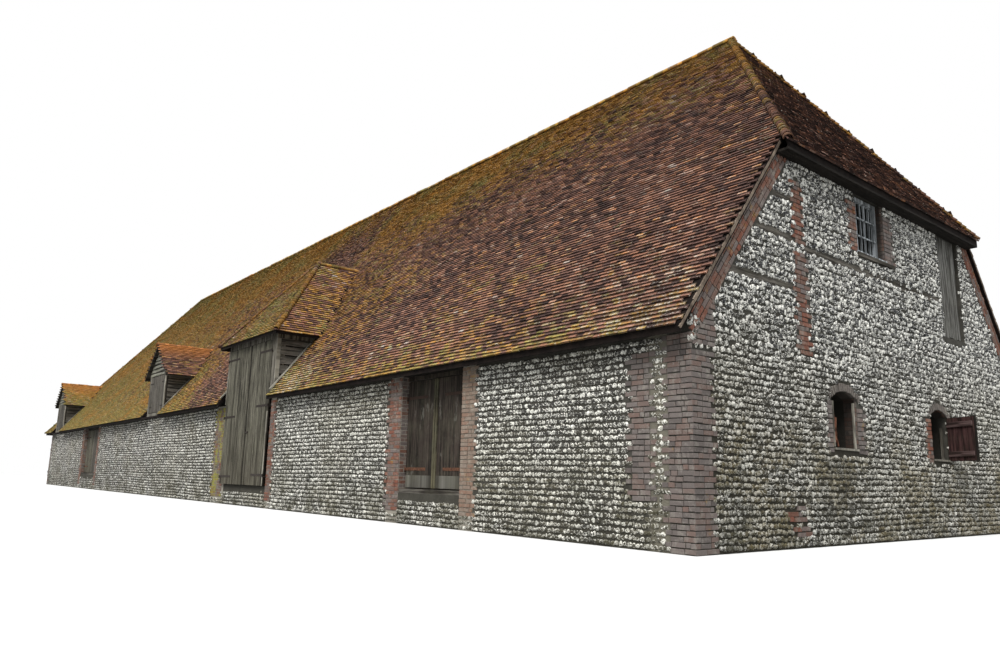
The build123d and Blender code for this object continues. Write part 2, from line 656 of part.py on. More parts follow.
def midstrey_outside():
    """Outer form of the midstrey roof, down to the foot of its plumb-cut eaves."""
    low = MIDSTREY_EAVES_Z - MIDSTREY_ROOF_PLUMB
    skirt = block(MIDSTREY_X - MIDSTREY_ROOF_HALF, MIDSTREY_X + MIDSTREY_ROOF_HALF, FRONT_Y - MIDSTREY_EAVES_OUT, 0,
                  low, MIDSTREY_EAVES_Z)
    return midstrey_envelope(0) + skirt


def midstrey_roof():
    """Hipped roof of the midstrey, lying back on the main slope along two valleys."""
    return largest(midstrey_outside() - midstrey_envelope(MIDSTREY_ROOF_PLUMB) - main_attic())


def midstrey_frame():
    """Posts, head beam and side plates of the midstrey."""
    near_face = MIDSTREY_X + MIDSTREY_HALF
    far_face = MIDSTREY_X - MIDSTREY_HALF
    head = block(far_face, near_face, FRONT_Y - TALL_DOOR_PROUD, FRONT_Y + MIDSTREY_POST, MIDSTREY_HEAD_Z,
                 MIDSTREY_HEAD_Z + HEAD_BEAM_DEPTH)
    plates = [block(x, x + MIDSTREY_POST, FRONT_Y + MIDSTREY_POST, 0, MIDSTREY_HEAD_Z, MIDSTREY_HEAD_Z + HEAD_BEAM_DEPTH)
              for x in (far_face, near_face - MIDSTREY_POST)]
    frame = head
    for post in midstrey_posts():
        frame += post
    for plate in plates:
        frame += plate - main_attic()
    under = midstrey_envelope(MIDSTREY_ROOF_PLUMB)
    return frame & (under + block(far_face, near_face, -WIDTH, 0, 0, MIDSTREY_EAVES_Z - MIDSTREY_ROOF_PLUMB))


def midstrey_cheeks():
    """Weatherboarded sides above the main slope."""
    cheeks = []
    frame = midstrey_frame()
    for inner, outer in ((MIDSTREY_X + MIDSTREY_HALF - CHEEK_BOARD, MIDSTREY_X + MIDSTREY_HALF),
                         (MIDSTREY_X - MIDSTREY_HALF, MIDSTREY_X - MIDSTREY_HALF + CHEEK_BOARD)):
        side = block(inner, outer, FRONT_Y - TALL_DOOR_PROUD, 0, WALL_TOP, MIDSTREY_HEAD_Z)
        side = side - main_attic() - frame
        cheeks.append(largest(side))
    return cheeks


# Dormers

def dormer_roof(middle):
    """Gabled roof of a dormer, cut to lie on the main slope."""
    x = from_gable(middle)
    front = FRONT_Y - DORMER_PROUD - DORMER_VERGE_OUT
    half = DORMER_ROOF_HALF
    fall = DORMER_SLOPE * half
    top = DORMER_RIDGE_Z
    points = [(x - half, top - fall), (x, top), (x + half, top - fall), (x + half, top - fall - DORMER_ROOF_PLUMB),
              (x, top - DORMER_ROOF_PLUMB), (x - half, top - fall - DORMER_ROOF_PLUMB)]
    return largest(along_y(points, front, 0) - main_attic())


def dormer_front(middle):
    """Boarded front with its gablet, and the two cheeks behind it."""
    x = from_gable(middle)
    y = FRONT_Y - DORMER_PROUD
    half = DORMER_HALF
    under = DORMER_RIDGE_Z - DORMER_ROOF_PLUMB
    shoulder = under - DORMER_SLOPE * half
    front = along_y([(x - half, WALL_TOP), (x + half, WALL_TOP), (x + half, shoulder), (x, under), (x - half, shoulder)],
                    y, y + DORMER_FRONT)
    cheeks = [block(a, a + DORMER_CHEEK, y + DORMER_FRONT, 0, WALL_TOP, shoulder)
              for a in (x - half, x + half - DORMER_CHEEK)]
    body = front
    for cheek in cheeks:
        body += cheek - main_attic()
    return largest(body - slope_under_dormer(x))


def slope_under_dormer(x):
    """Strip of main roof slab that the dormer's cheeks stand on and that its front passes in the opening."""
    half = DORMER_HALF
    slab = slope_slab([(x - 2 * half, -EAVES_Y, EAVES_Z), (x + 2 * half, -EAVES_Y, EAVES_Z),
                       (x + 2 * half, 0, RIDGE_Z), (x - 2 * half, 0, RIDGE_Z)], ROOF_PLUMB)
    opening = block(x - half + DORMER_CHEEK, x + half - DORMER_CHEEK, -WIDTH, FRONT_Y + DORMER_OPENING_DEPTH, 0, TALL)
    return slab - opening


# Doors

def strap_hinge(hinge_x, direction, y0, z, length):
    """Strap on the outer face of a leaf, with the barrel that turns on its pin."""
    thick, deep = STRAP
    bar = block(hinge_x, hinge_x + direction * length, y0 - thick, y0, z - deep / 2, z + deep / 2)
    axis = Pos(hinge_x, y0 - BARREL_STANDOFF, z)
    return bar + axis * Cylinder(BARREL, deep) - axis * Cylinder(PIN + PIN_FIT, 2 * deep)


def ledges(clear_x, direction, meeting, y0, heights):
    """Ledges across the back of a leaf at its straps, with a brace up between each pair."""
    thick, deep = LEDGE
    back = y0 + LEAF
    end_x = meeting - direction * LEDGE_INSET
    bars = [block(clear_x, end_x, back, back + thick, z - deep / 2, z + deep / 2) for z in heights]
    for low, high in zip(heights, heights[1:]):
        foot = low + deep / 2
        head = high - deep / 2
        across = direction * BRACE_BOARD
        bars.append(along_y([(clear_x, foot), (clear_x + across, foot), (end_x, head), (end_x - across, head)],
                            back, back + thick))
    return bars


def hinge_pin(hinge_x, y0, z, seat):
    """Upright pin inside a barrel, on a bracket that runs sideways and back to the post or jamb that holds it."""
    seat_x, seat_y = seat
    deep = STRAP[1]
    axis_y = y0 - BARREL_STANDOFF
    top = z - deep / 2 - PIN_FIT
    low = top - BRACKET
    pin = Pos(hinge_x, axis_y, (low + z + deep / 2) / 2) * Cylinder(PIN, z + deep / 2 - low)
    away = math.copysign(DOOR_GAP, seat_x - hinge_x)
    arm = block(hinge_x, seat_x, axis_y - PIN, axis_y + PIN, low, top)
    tail = block(hinge_x + away, seat_x, axis_y - PIN, seat_y, low, top)
    return pin + arm + tail


def doorway(name, hinges, opening, y0, heights, straps, seats, fused=False):
    """Both leaves of a doorway with their straps; gives the pins that carry them."""
    low, high = heights
    strap_heights, length = straps
    near_jamb, meeting, far_jamb = opening
    jambs = (near_jamb, far_jamb)
    pins = []
    for side, hinge_x, jamb, direction, places, seat in zip(("near", "far"), hinges, jambs, (-1, 1), strap_heights,
                                                            seats):
        edge = meeting - direction * DOOR_GAP / 2
        clear = direction * (max(direction * hinge_x, direction * jamb) + LEDGE_INSET)
        leaf = block(hinge_x, edge, y0, y0 + LEAF, low, high)
        for bar in ledges(clear, direction, edge, y0, places):
            leaf += bar
        iron = [strap_hinge(hinge_x, direction, y0, z, length) for z in places]
        if fused:
            for strap in iron:
                leaf += strap
            save(f"{name}_{side}_leaf", leaf)
        else:
            save(f"{name}_{side}_leaf", leaf)
            save(f"{name}_{side}_straps", *iron)
        pins += [hinge_pin(hinge_x, y0, z, seat(z)) for z in places]
    return pins


def low_doorway(name, door, sill, fused):
    """Recessed doorway under the wall plate, hung on its brick jambs."""
    near_jamb = from_gable(door[1])
    far_jamb = from_gable(door[2])
    standoff = BARREL + DOOR_GAP
    y0 = FRONT_Y + DOOR_RECESS
    heights = (sill + SILL_BEAM + DOOR_FOOT_GAP, LOW_DOOR_TOP)
    seats = (lambda z: (near_jamb, y0), lambda z: (far_jamb, y0))
    opening = (near_jamb, (near_jamb + far_jamb) / 2, far_jamb)
    return doorway(name, (near_jamb - standoff, far_jamb + standoff), opening, y0, heights,
                   ((LOW_STRAP_Z, LOW_STRAP_Z), LOW_STRAP_LENGTH), seats, fused)


def doors():
    """Every leaf, and the pins in one set."""
    near_jamb = from_gable(NEAR_PIER_FROM_GABLE[1])
    far_jamb = from_gable(FAR_PIER_FROM_GABLE[0])
    y0 = FRONT_Y - TALL_DOOR_PROUD
    heights = (MIDSTREY_SILL_Z + DOOR_FOOT_GAP, MIDSTREY_HEAD_Z - DOOR_FOOT_GAP)
    hinges = (near_jamb - DOOR_GAP, far_jamb - TALL_LEAF_OVERLAP)
    seats = (lambda z: (near_jamb + 2 * BRACKET, FRONT_Y if z < WALL_TOP else y0),
             lambda z: (far_jamb - MIDSTREY_POST, FRONT_Y))
    opening = (near_jamb, MIDSTREY_X, far_jamb)
    pins = doorway("midstrey", hinges, opening, y0, heights, ((NEAR_STRAP_Z, FAR_STRAP_Z), STRAP_LENGTH), seats)
    pins += low_doorway("middle_door", MIDDLE_DOOR, MIDDLE_SILL_Z, False)
    pins += low_doorway("far_door", FAR_DOOR, FAR_SILL_Z, True)
    save("hinge_pins", *pins)
    back = REAR_Y - DOOR_RECESS
    save("rear_doors", block(from_gable(REAR_DOOR[2]), from_gable(REAR_DOOR[1]), back - LEAF, back, REAR_SILL_Z,
                             WALL_TOP))


# Window, hatch and shutter of the gable

def upper_window():
    """Timber frame with upright bars."""
    left, right, sill, head = UPPER_WINDOW
    x1 = GABLE_X - WINDOW_SETBACK
    x0 = x1 - WINDOW_FRAME
    y0 = FRONT_Y + left
    y1 = FRONT_Y + right
    frame = block(x0, x1, y0, y1, sill, head)
    frame -= block(x0 - WALL, x1 + WALL, y0 + WINDOW_FRAME, y1 - WINDOW_FRAME, sill + WINDOW_FRAME, head - WINDOW_FRAME)
    pitch = (y1 - y0 - WINDOW_FRAME) / (WINDOW_BARS + 1)
    for i in range(1, WINDOW_BARS + 1):
        y = y0 + WINDOW_FRAME / 2 + i * pitch
        frame += block(x0, x0 + BAR, y - BAR / 2, y + BAR / 2, sill + WINDOW_FRAME / 2, head - WINDOW_FRAME / 2)
    return frame


def gable_shutters():
    """Boarded hatch high in the gable, and the shutter that stands open beside the far low window."""
    left, right, low, high = HATCH
    x1 = GABLE_X - HATCH_SETBACK
    hatch = block(x1 - HATCH_BOARD, x1, FRONT_Y + left, FRONT_Y + right, low, high)
    window = LOW_WINDOWS[1]
    hinge_y = FRONT_Y + window[1] - SHUTTER_GAP
    board = block(0, SHUTTER_BOARD, -SHUTTER_WIDTH, 0, window[2] + SHUTTER_GAP, window[3])
    turned = Pos(GABLE_X, hinge_y, 0) * Rot(0, 0, SHUTTER_OPEN) * board
    return hatch, turned


os.makedirs("parts", exist_ok=True)
front_walls()
rear_walls()
save("near_gable_lower", near_gable_lower())
save("near_gable_upper", near_gable_upper())
save("far_end_wall", end_wall(FAR_X, 1))
save("brick_quoins_and_jambs", *quoins_and_jambs())
save("gable_brickwork", rake_bricks(), *gable_bricks(), *upper_jambs())
save("wall_timbers", *bond_timbers(), *sill_beams(), *door_heads(), window_sill())
save("doorway_plinths", *doorway_plinths())
save("wall_plates", *wall_plates())
save("arcade_posts", *arcade_posts())
save("arcade_plates", *arcade_plates())
save("tie_beams", *tie_beams())
save("arcade_braces", *arcade_braces())
save("principal_rafters", *principal_rafters())
roof_slopes()
save("half_hip_board", half_hip_board())
save("ridge_tiles", ridge_tiles())
save("hip_bonnets", *hip_bonnets())
save("midstrey_frame", midstrey_frame())
save("midstrey_cheeks", *midstrey_cheeks())
save("midstrey_roof", midstrey_roof())
save("dormer_fronts", *[dormer_front(middle) for middle in DORMERS_FROM_GABLE])
save("dormer_roofs", *[dormer_roof(middle) for middle in DORMERS_FROM_GABLE])
doors()
save("upper_window", upper_window())
save("gable_shutters", *gable_shutters())
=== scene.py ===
"""Dresses the half-size tithe barn: roof tiles, flints, bricks, boards and ironwork, and its studio."""

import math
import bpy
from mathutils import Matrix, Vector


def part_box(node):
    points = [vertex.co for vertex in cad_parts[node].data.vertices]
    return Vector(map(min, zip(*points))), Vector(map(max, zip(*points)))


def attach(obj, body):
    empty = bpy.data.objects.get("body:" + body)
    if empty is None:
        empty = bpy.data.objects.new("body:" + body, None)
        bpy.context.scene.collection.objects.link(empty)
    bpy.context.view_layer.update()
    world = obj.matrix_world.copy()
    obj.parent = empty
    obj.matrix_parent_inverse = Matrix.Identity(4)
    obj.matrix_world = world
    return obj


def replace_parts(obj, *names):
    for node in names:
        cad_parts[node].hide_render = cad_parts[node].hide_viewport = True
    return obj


bl_info = {
    "name": "Tithe barn dressing",
    "version": (1, 0, 0),
    "blender": (4, 5, 0),
    "location": "3D View > Sidebar > Barn",
    "description": "Lays the tiles, flints, bricks and boards of a half-size tithe barn",
    "category": "Object",
}

from functools import cache

import bpy
import numpy as np
from bpy.props import FloatProperty, FloatVectorProperty, IntProperty, PointerProperty
from mathutils import Matrix, Vector

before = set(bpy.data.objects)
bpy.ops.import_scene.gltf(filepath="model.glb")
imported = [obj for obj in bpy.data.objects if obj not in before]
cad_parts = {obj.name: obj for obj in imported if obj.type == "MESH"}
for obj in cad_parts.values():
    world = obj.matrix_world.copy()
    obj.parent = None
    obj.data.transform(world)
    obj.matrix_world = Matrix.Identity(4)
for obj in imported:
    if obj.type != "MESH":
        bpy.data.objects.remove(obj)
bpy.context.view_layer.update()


def low(node):
    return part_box(node)[0]


def high(node):
    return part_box(node)[1]


# Directions, and places read from the frame, in metres

X, Y, Z = np.eye(3)
ROOF_PLUMB = 0.06
GABLE = high("near_gable_upper").x
FAR_END = low("far_end_wall").x
FRONT = low("front_wall_near").y
REAR = high("rear_walls").y
WALL_TOP = high("front_wall_near").z
RIDGE_Z = high("roof_rear").z
EAVES_Y = high("roof_rear").y
EAVES_Z = low("roof_rear").z + ROOF_PLUMB
VERGE_X = high("roof_front_near").x
FAR_EAVES_X = low("roof_far_hip").x
RIDGE_NEAR_X = high("ridge_tiles").x
RIDGE_FAR_X = low("ridge_tiles").x
HALF_HIP_X = high("roof_half_hip").x
HALF_HIP_Y = high("roof_half_hip").y
HALF_HIP_Z = low("roof_half_hip").z + ROOF_PLUMB
SOFFIT_Z = low("half_hip_board").z
SLOPE = (RIDGE_Z - EAVES_Z) / EAVES_Y
HALF_HIP_SLOPE = (RIDGE_Z - HALF_HIP_Z) / (HALF_HIP_X - RIDGE_NEAR_X)
FAR_HIP_SLOPE = (RIDGE_Z - EAVES_Z) / (RIDGE_FAR_X - FAR_EAVES_X)
MIDSTREY_PLUMB = 0.055
MIDSTREY_X = (low("midstrey_roof").x + high("midstrey_roof").x) / 2
MIDSTREY_ROOF_HALF = high("midstrey_roof").x - MIDSTREY_X
MIDSTREY_HALF = high("midstrey_frame").x - MIDSTREY_X
MIDSTREY_FRONT = low("midstrey_roof").y
MIDSTREY_EAVES_Z = low("midstrey_roof").z + MIDSTREY_PLUMB
MIDSTREY_RIDGE_Z = high("midstrey_roof").z
DORMER_HALF = 0.525
DORMER_ROOF_HALF = 0.69
DORMER_PLUMB = 0.04
DORMER_SHOULDER_Z = 2.27
DORMER_FRONT = low("dormer_fronts").y
DORMER_VERGE = low("dormer_roofs").y
DORMER_RIDGE_Z = high("dormer_roofs").z
DORMER_EAVES_Z = low("dormer_roofs").z + DORMER_PLUMB
DORMER_SLOPE = (DORMER_RIDGE_Z - DORMER_EAVES_Z) / DORMER_ROOF_HALF
DORMERS = (high("dormer_fronts").x - DORMER_HALF, low("dormer_fronts").x + DORMER_HALF)
SIDES = (-1, 1)


def from_gable(distance):
    """X of a place that lies this far from the outside of the near gable."""
    return GABLE - distance


def main_z(y):
    return RIDGE_Z - SLOPE * abs(y)


def main_y(z):
    return (RIDGE_Z - z) / SLOPE


def midstrey_z(x, y):
    """Top of the midstrey roof above a place."""
    side = MIDSTREY_RIDGE_Z - SLOPE * abs(x - MIDSTREY_X)
    hip = MIDSTREY_EAVES_Z + SLOPE * (y - MIDSTREY_FRONT)
    return np.where(y < MIDSTREY_FRONT, 0.0, np.minimum(side, hip)) * (abs(x - MIDSTREY_X) < MIDSTREY_ROOF_HALF)


def dormer_z(x, y, middle):
    top = DORMER_RIDGE_Z - DORMER_SLOPE * abs(x - middle)
    return top * (y > DORMER_VERGE) * (abs(x - middle) < DORMER_ROOF_HALF)


# Sizes and colours that a user would change

def length(name, description, default):
    return FloatProperty(name=name, description=description, default=default, min=0.0005, precision=4,
                         unit="LENGTH")


def colour(name, description, default):
    return FloatVectorProperty(name=name, description=description, default=default, size=3, min=0, max=1,
                               subtype="COLOR")


def share(name, description, default):
    return FloatProperty(name=name, description=description, default=default, min=0, max=4, subtype="FACTOR")


class RoofSettings(bpy.types.PropertyGroup):
    gauge: length("Gauge", "Height of a course up the slope", 0.0455)
    width: length("Tile width", "Width of a tile with its joint", 0.083)
    thickness: length("Tile thickness", "Rise of a tile's lower edge above the course below", 0.014)
    overhang: length("Eaves overhang", "How far the lowest course hangs past the boards", 0.022)
    sag: length("Sag", "How far the slopes have settled out of plane", 0.009)
    ridge_length: length("Ridge tile", "Length of one ridge tile", 0.225)
    bonnet_gauge: length("Bonnet gauge", "Spacing of the bonnets along a hip", 0.062)
    dark: colour("Dark clay", "Sooty purple-brown tiles", (0.112, 0.061, 0.051))
    clay: colour("Clay", "Dull red-brown tiles", (0.226, 0.115, 0.084))
    bright: colour("Bright clay", "Fresher orange-red tiles", (0.365, 0.168, 0.100))
    pink: colour("Pink clay", "Bleached pink tiles", (0.460, 0.250, 0.180))
    pale: colour("Pale crust", "Sanded and crusted tiles", (0.560, 0.470, 0.400))
    ochre: colour("Ochre lichen", "Lichen that covers the far half", (0.450, 0.225, 0.034))
    moss: colour("Moss", "Mustard-green moss", (0.300, 0.262, 0.066))


class FlintSettings(bpy.types.PropertyGroup):
    course: length("Flint course", "Height of a course of flints", 0.047)
    narrow: length("Narrowest flint", "Least width of a flint", 0.024)
    wide: length("Widest flint", "Greatest width of a flint", 0.050)
    depth: length("Projection", "How far the flints stand out of the mortar", 0.019)
    core: colour("Flint core", "Broken black flint", (0.022, 0.023, 0.027))
    grey: colour("Grey flint", "Weathered grey flint", (0.210, 0.208, 0.195))
    rind: colour("Rind", "White rind of whole nodules", (0.900, 0.885, 0.825))
    # Painted shade: the mortar colour is set dark, partly old lime and partly the shade in the gaps between the
    # flints.
    mortar: colour("Mortar", "Old lime mortar", (0.092, 0.087, 0.074))


class BrickSettings(bpy.types.PropertyGroup):
    course: length("Brick course", "Height of a brick with its joint", 0.0385)
    stretcher: length("Stretcher", "Length of a brick with its joint", 0.1125)
    joint: length("Joint", "Width of the mortar joints", 0.006)
    proud: length("Projection", "How far the bricks stand out of the mortar", 0.008)
    dull: colour("Dull brick", "Weathered purple-brown brick", (0.200, 0.165, 0.152))
    red: colour("Red brick", "Fresher red brick", (0.240, 0.092, 0.062))
    pale: colour("Pale brick", "Limewashed or crusted brick", (0.330, 0.245, 0.190))


class BoardSettings(bpy.types.PropertyGroup):
    width: length("Board width", "Width of a door board", 0.082)
    thickness: length("Board thickness", "Projection of the boards from the leaf", 0.005)
    grey: colour("Silver grey", "Bare weathered door boards", (0.057, 0.052, 0.039))
    dark: colour("Dark brown", "Old tarred boards", (0.026, 0.020, 0.016))
    black: colour("Weatherboard", "Dark weatherboards of the cheeks", (0.082, 0.078, 0.066))
    green: colour("Green grey", "Algae-stained boards", (0.120, 0.118, 0.078))
    rust: colour("Rust", "Rusted straps and nails", (0.110, 0.052, 0.032))


class StudioSettings(bpy.types.PropertyGroup):
    distance: length("Camera X", "How far the camera stands beyond the near gable", 3.120)
    floor: colour("Floor", "Pale studio floor", (0.80, 0.80, 0.79))
    sky: share("Sky", "Strength of the soft light from all round", 1.02)
    key: share("Key", "Strength of the soft key light", 3.0)
    seed: IntProperty(name="Seed", description="Start of the random draws", default=7)


def settings(name):
    return getattr(bpy.context.scene, "barn_" + name)


def random(seed):
    return np.random.default_rng(settings("studio").seed * 1000 + seed)


# Node materials

FACE_DEPTH = 0.01
OUTER_SKIN = 0.002
CORNER_PATCH = 0.28
GRAIN = 0.05
LICHEN = (0.330, 0.200, 0.045)
# Near-black: the dark of the wood grain, and painted shade in the gaps between boards where the backing uses it.
DARK_GRAIN_AND_GAP_SHADE = (0.012, 0.010, 0.008)


class Nodes:
    """Adds nodes to a tree and joins them up; a value is a socket or a constant."""

    def __init__(self, tree):
        self.tree = tree
        self.coords = self.add("ShaderNodeTexCoord").outputs

    def kept(self, kind):
        """Node of this type that the tree came with."""
        return next(n for n in self.tree.nodes if n.type == kind)

    def add(self, kind, inputs=None, **values):
        node = self.tree.nodes.new(kind)
        for key, value in values.items():
            setattr(node, key, value)
        for key, value in (inputs or {}).items():
            self.plug(node.inputs[key], value)
        return node

    def plug(self, socket, value):
        if isinstance(value, bpy.types.NodeSocket):
            self.tree.links.new(value, socket)
        elif socket.type == "RGBA" and len(value) == 3:
            socket.default_value = (*value, 1)
        else:
            socket.default_value = value

    def axis(self, name, vector=None):
        point = self.coords["Object"] if vector is None else vector
        return self.add("ShaderNodeSeparateXYZ", {"Vector": point}).outputs[name]

    def span(self, value, start, end, to_start=0.0, to_end=1.0):
        node = self.add("ShaderNodeMapRange", {"Value": value, "From Min": start, "From Max": end,
                                               "To Min": to_start, "To Max": to_end})
        return node.outputs["Result"]

    def maths(self, operation, first, *rest):
        """Applies the operation to its values, two at a time from the left; a lone value will do for ABSOLUTE."""
        for value in rest or [0.0]:
            first = self.add("ShaderNodeMath", {0: first, 1: value}, operation=operation).outputs["Value"]
        return first

    def plus(self, *values):
        return self.maths("ADD", *values)

    def times(self, *values):
        return self.maths("MULTIPLY", *values)

    def most(self, *values):
        return self.maths("MAXIMUM", *values)

    def away(self, value, place):
        """How far a value lies from a place, on either side."""
        return self.maths("ABSOLUTE", self.maths("SUBTRACT", value, place))


class Finish(Nodes):
    """A material under construction, on Blender's principled shader."""

    def __init__(self, name, roughness=0.9, specular=0.12):
        self.material = bpy.data.materials.new(name)
        self.material.use_nodes = True
        super().__init__(self.material.node_tree)
        self.shader = self.kept("BSDF_PRINCIPLED")
        self.shader.inputs["Roughness"].default_value = roughness
        self.shader.inputs["Specular IOR Level"].default_value = specular

    def scaled(self, space, scale):
        """Object or UV coordinates, stretched or squeezed along their axes."""
        return self.add("ShaderNodeMapping", {"Vector": self.coords[space], "Scale": scale}).outputs["Vector"]

    def noise(self, scale, vector=None, detail=4.0, roughness=0.55, distortion=0.0):
        point = self.coords["Object"] if vector is None else vector
        node = self.add("ShaderNodeTexNoise", {"Vector": point, "Scale": scale, "Detail": detail,
                                               "Roughness": roughness, "Distortion": distortion})
        return node.outputs["Fac"]

    def patches(self, scale, start, end, least=0.0, most=1.0, detail=5.0, roughness=0.75):
        """Soft-edged patches of noise between two strengths."""
        return self.span(self.noise(scale, detail=detail, roughness=roughness), start, end, least, most)

    def attribute(self, name):
        return self.add("ShaderNodeAttribute", attribute_name=name).outputs["Fac"]

    def reach(self, vector):
        """Length of a vector."""
        return self.add("ShaderNodeVectorMath", {0: vector}, operation="LENGTH").outputs["Value"]

    def mix(self, factor, first, second, blend="MIX"):
        node = self.add("ShaderNodeMix", data_type="RGBA", blend_type=blend)
        sockets = {s.identifier: s for s in node.inputs}
        self.plug(sockets["Factor_Float"], factor)
        self.plug(sockets["A_Color"], first)
        self.plug(sockets["B_Color"], second)
        return next(s for s in node.outputs if s.identifier == "Result_Color")

    def ramp(self, factor, *stops):
        node = self.add("ShaderNodeValToRGB", {"Fac": factor})
        elements = node.color_ramp.elements
        while len(elements) < len(stops):
            elements.new(0.5)
        for element, (place, tint) in zip(elements, stops):
            element.position = place
            element.color = (*tint, 1) if hasattr(tint, "__len__") else (tint, tint, tint, 1)
        return node.outputs["Color"]

    def speckled(self, factor, tint, value, dark_stop, light_stop):
        """The tint, darker and lighter by a grey ramp over a value."""
        return self.mix(factor, tint, self.ramp(value, dark_stop, light_stop), "MULTIPLY")

    def on_gable(self):
        """1 on the outer face of the near gable and 0 elsewhere."""
        return self.maths("GREATER_THAN", self.axis("X"), GABLE - FACE_DEPTH)

    def done(self, tint, height, strength=0.5, distance=0.004):
        self.plug(self.shader.inputs["Base Color"], tint)
        bump = self.add("ShaderNodeBump", {"Height": height, "Strength": strength, "Distance": distance})
        self.plug(self.shader.inputs["Normal"], bump.outputs["Normal"])
        return self.material


def tile_finish(name, lichen_bias, crown=0.0, moss=0.0):
    """Weathered clay, each tile with its own tone; crust and lichen in patches that grow towards the far end."""
    roof = settings("roof")
    f = Finish(name, 0.88)
    tone = f.attribute("tone")
    wear = f.attribute("wear")
    along = f.axis("X")
    height = f.axis("Z")
    shade = f.plus(f.times(tone, 0.92), f.patches(0.9, 0.3, 0.7, -0.16, 0.22, roughness=0.68))
    clay = f.ramp(shade, (0.0, (0.040, 0.023, 0.020)), (0.18, roof.dark), (0.46, roof.clay), (0.74, roof.bright),
                  (0.92, roof.pink), (1.06, roof.pale))
    grit = f.noise(95, detail=4, roughness=0.75)
    clay = f.speckled(0.75, clay, grit, (0.34, 0.28), (0.64, 1.2))
    fresh = f.ramp(tone, (0.3, (0.560, 0.330, 0.250)), (0.6, (0.620, 0.260, 0.110)))
    clay = f.mix(f.span(wear, 0.945, 0.955, 0.0, 0.72), clay, fresh)
    valley = f.span(f.away(along, MIDSTREY_X + 1.5), 2.6, 0.2, 0.0, 0.10)
    far_valley = f.span(f.away(along, MIDSTREY_X - 1.75), 1.3, 0.5, 0.0, -0.15)
    by_eaves = f.span(height, EAVES_Z + 0.50, EAVES_Z - 0.02, 0.0, 0.16)
    by_ridge = f.span(height, RIDGE_Z - 1.5, RIDGE_Z, 0.0, 0.27)
    bias = f.plus(f.span(along, 6.5, -9.0, 0.0, 0.40), valley, far_valley, by_eaves, by_ridge, lichen_bias)
    broad = f.noise(0.75, detail=6, roughness=0.72)
    spots = f.noise(13.0, f.scaled("Object", (0.55, 1, 1)), detail=5, roughness=0.8)
    cover = f.plus(f.times(broad, 0.62), f.times(spots, 0.46), bias, f.times(wear, 0.26))
    mossy = f.plus(f.noise(1.9, detail=5), f.span(height, EAVES_Z + 1.6, EAVES_Z, -0.02, 0.10),
                   f.span(along, 2.0, -10.0, moss, moss + 0.09))
    lichen = f.mix(f.span(mossy, 0.44, 0.66), roof.ochre, roof.moss)
    lichen = f.mix(f.span(f.noise(16.0, detail=3), 0.54, 0.62), lichen, (0.500, 0.235, 0.035))
    lichen = f.speckled(0.55, lichen, tone, (0.1, 0.45), (0.8, 1.25))
    tint = f.mix(f.span(cover, 0.76, 0.92, 0.0, 0.86), clay, lichen)
    foot = f.span(height, EAVES_Z + 0.75, EAVES_Z + 0.20)
    verge = f.span(along, VERGE_X - 1.5, VERGE_X - 0.4, 0.0, 0.085)
    gutter = f.span(f.away(along, MIDSTREY_X + 1.55), 0.75, 0.15, 0.0, 0.12)
    crusty = f.plus(f.noise(42, detail=4, roughness=0.75), f.span(wear, 0.55, 1.0, 0.0, 0.11),
                    f.times(foot, f.most(verge, gutter)))
    tint = f.mix(f.span(crusty, 0.635, 0.71, 0.0, 0.8), tint, (0.52, 0.47, 0.40))
    if crown:
        top = f.span(height, DORMER_RIDGE_Z - 0.34, DORMER_RIDGE_Z - 0.06, 0.0, crown)
        tint = f.mix(f.times(top, f.span(spots, 0.36, 0.52, 0.55, 1.0)), tint, (0.540, 0.205, 0.048))
    tint = f.mix(f.patches(60, 0.59, 0.70, 0.0, 0.75, 3, 0.7), tint, (0.018, 0.012, 0.010))
    up_tile = f.axis("Y", f.coords["UV"])
    # Painted shade: the upper part of each tile darkens towards near-black, as the shadow under the course above.
    tint = f.mix(f.span(up_tile, 0.40, 0.78, 0.0, 0.92), tint, f.mix(0.85, tint, (0.012, 0.009, 0.008)))
    # Painted shade: the lower edge face of each tile is darkened, as the shade under its edge.
    tint = f.mix(f.times(f.maths("LESS_THAN", up_tile, 0.02), 0.55), tint, (0.014, 0.010, 0.008))
    return f.done(tint, f.plus(grit, f.times(spots, 0.5)), 0.7, 0.005)


def bedding_finish(name):
    """Slabs under the tiles, near-black with a faint mottle as painted shade under the eaves and verges."""
    f = Finish(name, 0.95)
    tint = f.ramp(f.noise(11, detail=5), (0.3, (0.004, 0.003, 0.003)), (0.7, (0.016, 0.011, 0.009)))
    return f.done(tint, f.noise(40), 0.4)


def gable_damp(f, most):
    """Damp on the gable from the middle of its height down, with a wet streak below the larger low window."""
    left, _, sill = LOW_WINDOWS[0][:3]
    height = f.axis("Z")
    damp = f.times(f.on_gable(), f.span(height, 1.9, 0.9, 0.0, most))
    below = f.times(f.span(height, sill + 0.02, sill - 0.12), f.span(height, 0.05, 0.35, 0.3, 1.0))
    beside = f.span(f.away(f.axis("Y"), FRONT + left + 0.05), 0.42, 0.10)
    return f.most(damp, f.times(beside, below, f.patches(7.0, 0.40, 0.56, 0.25, 0.8), f.on_gable()))


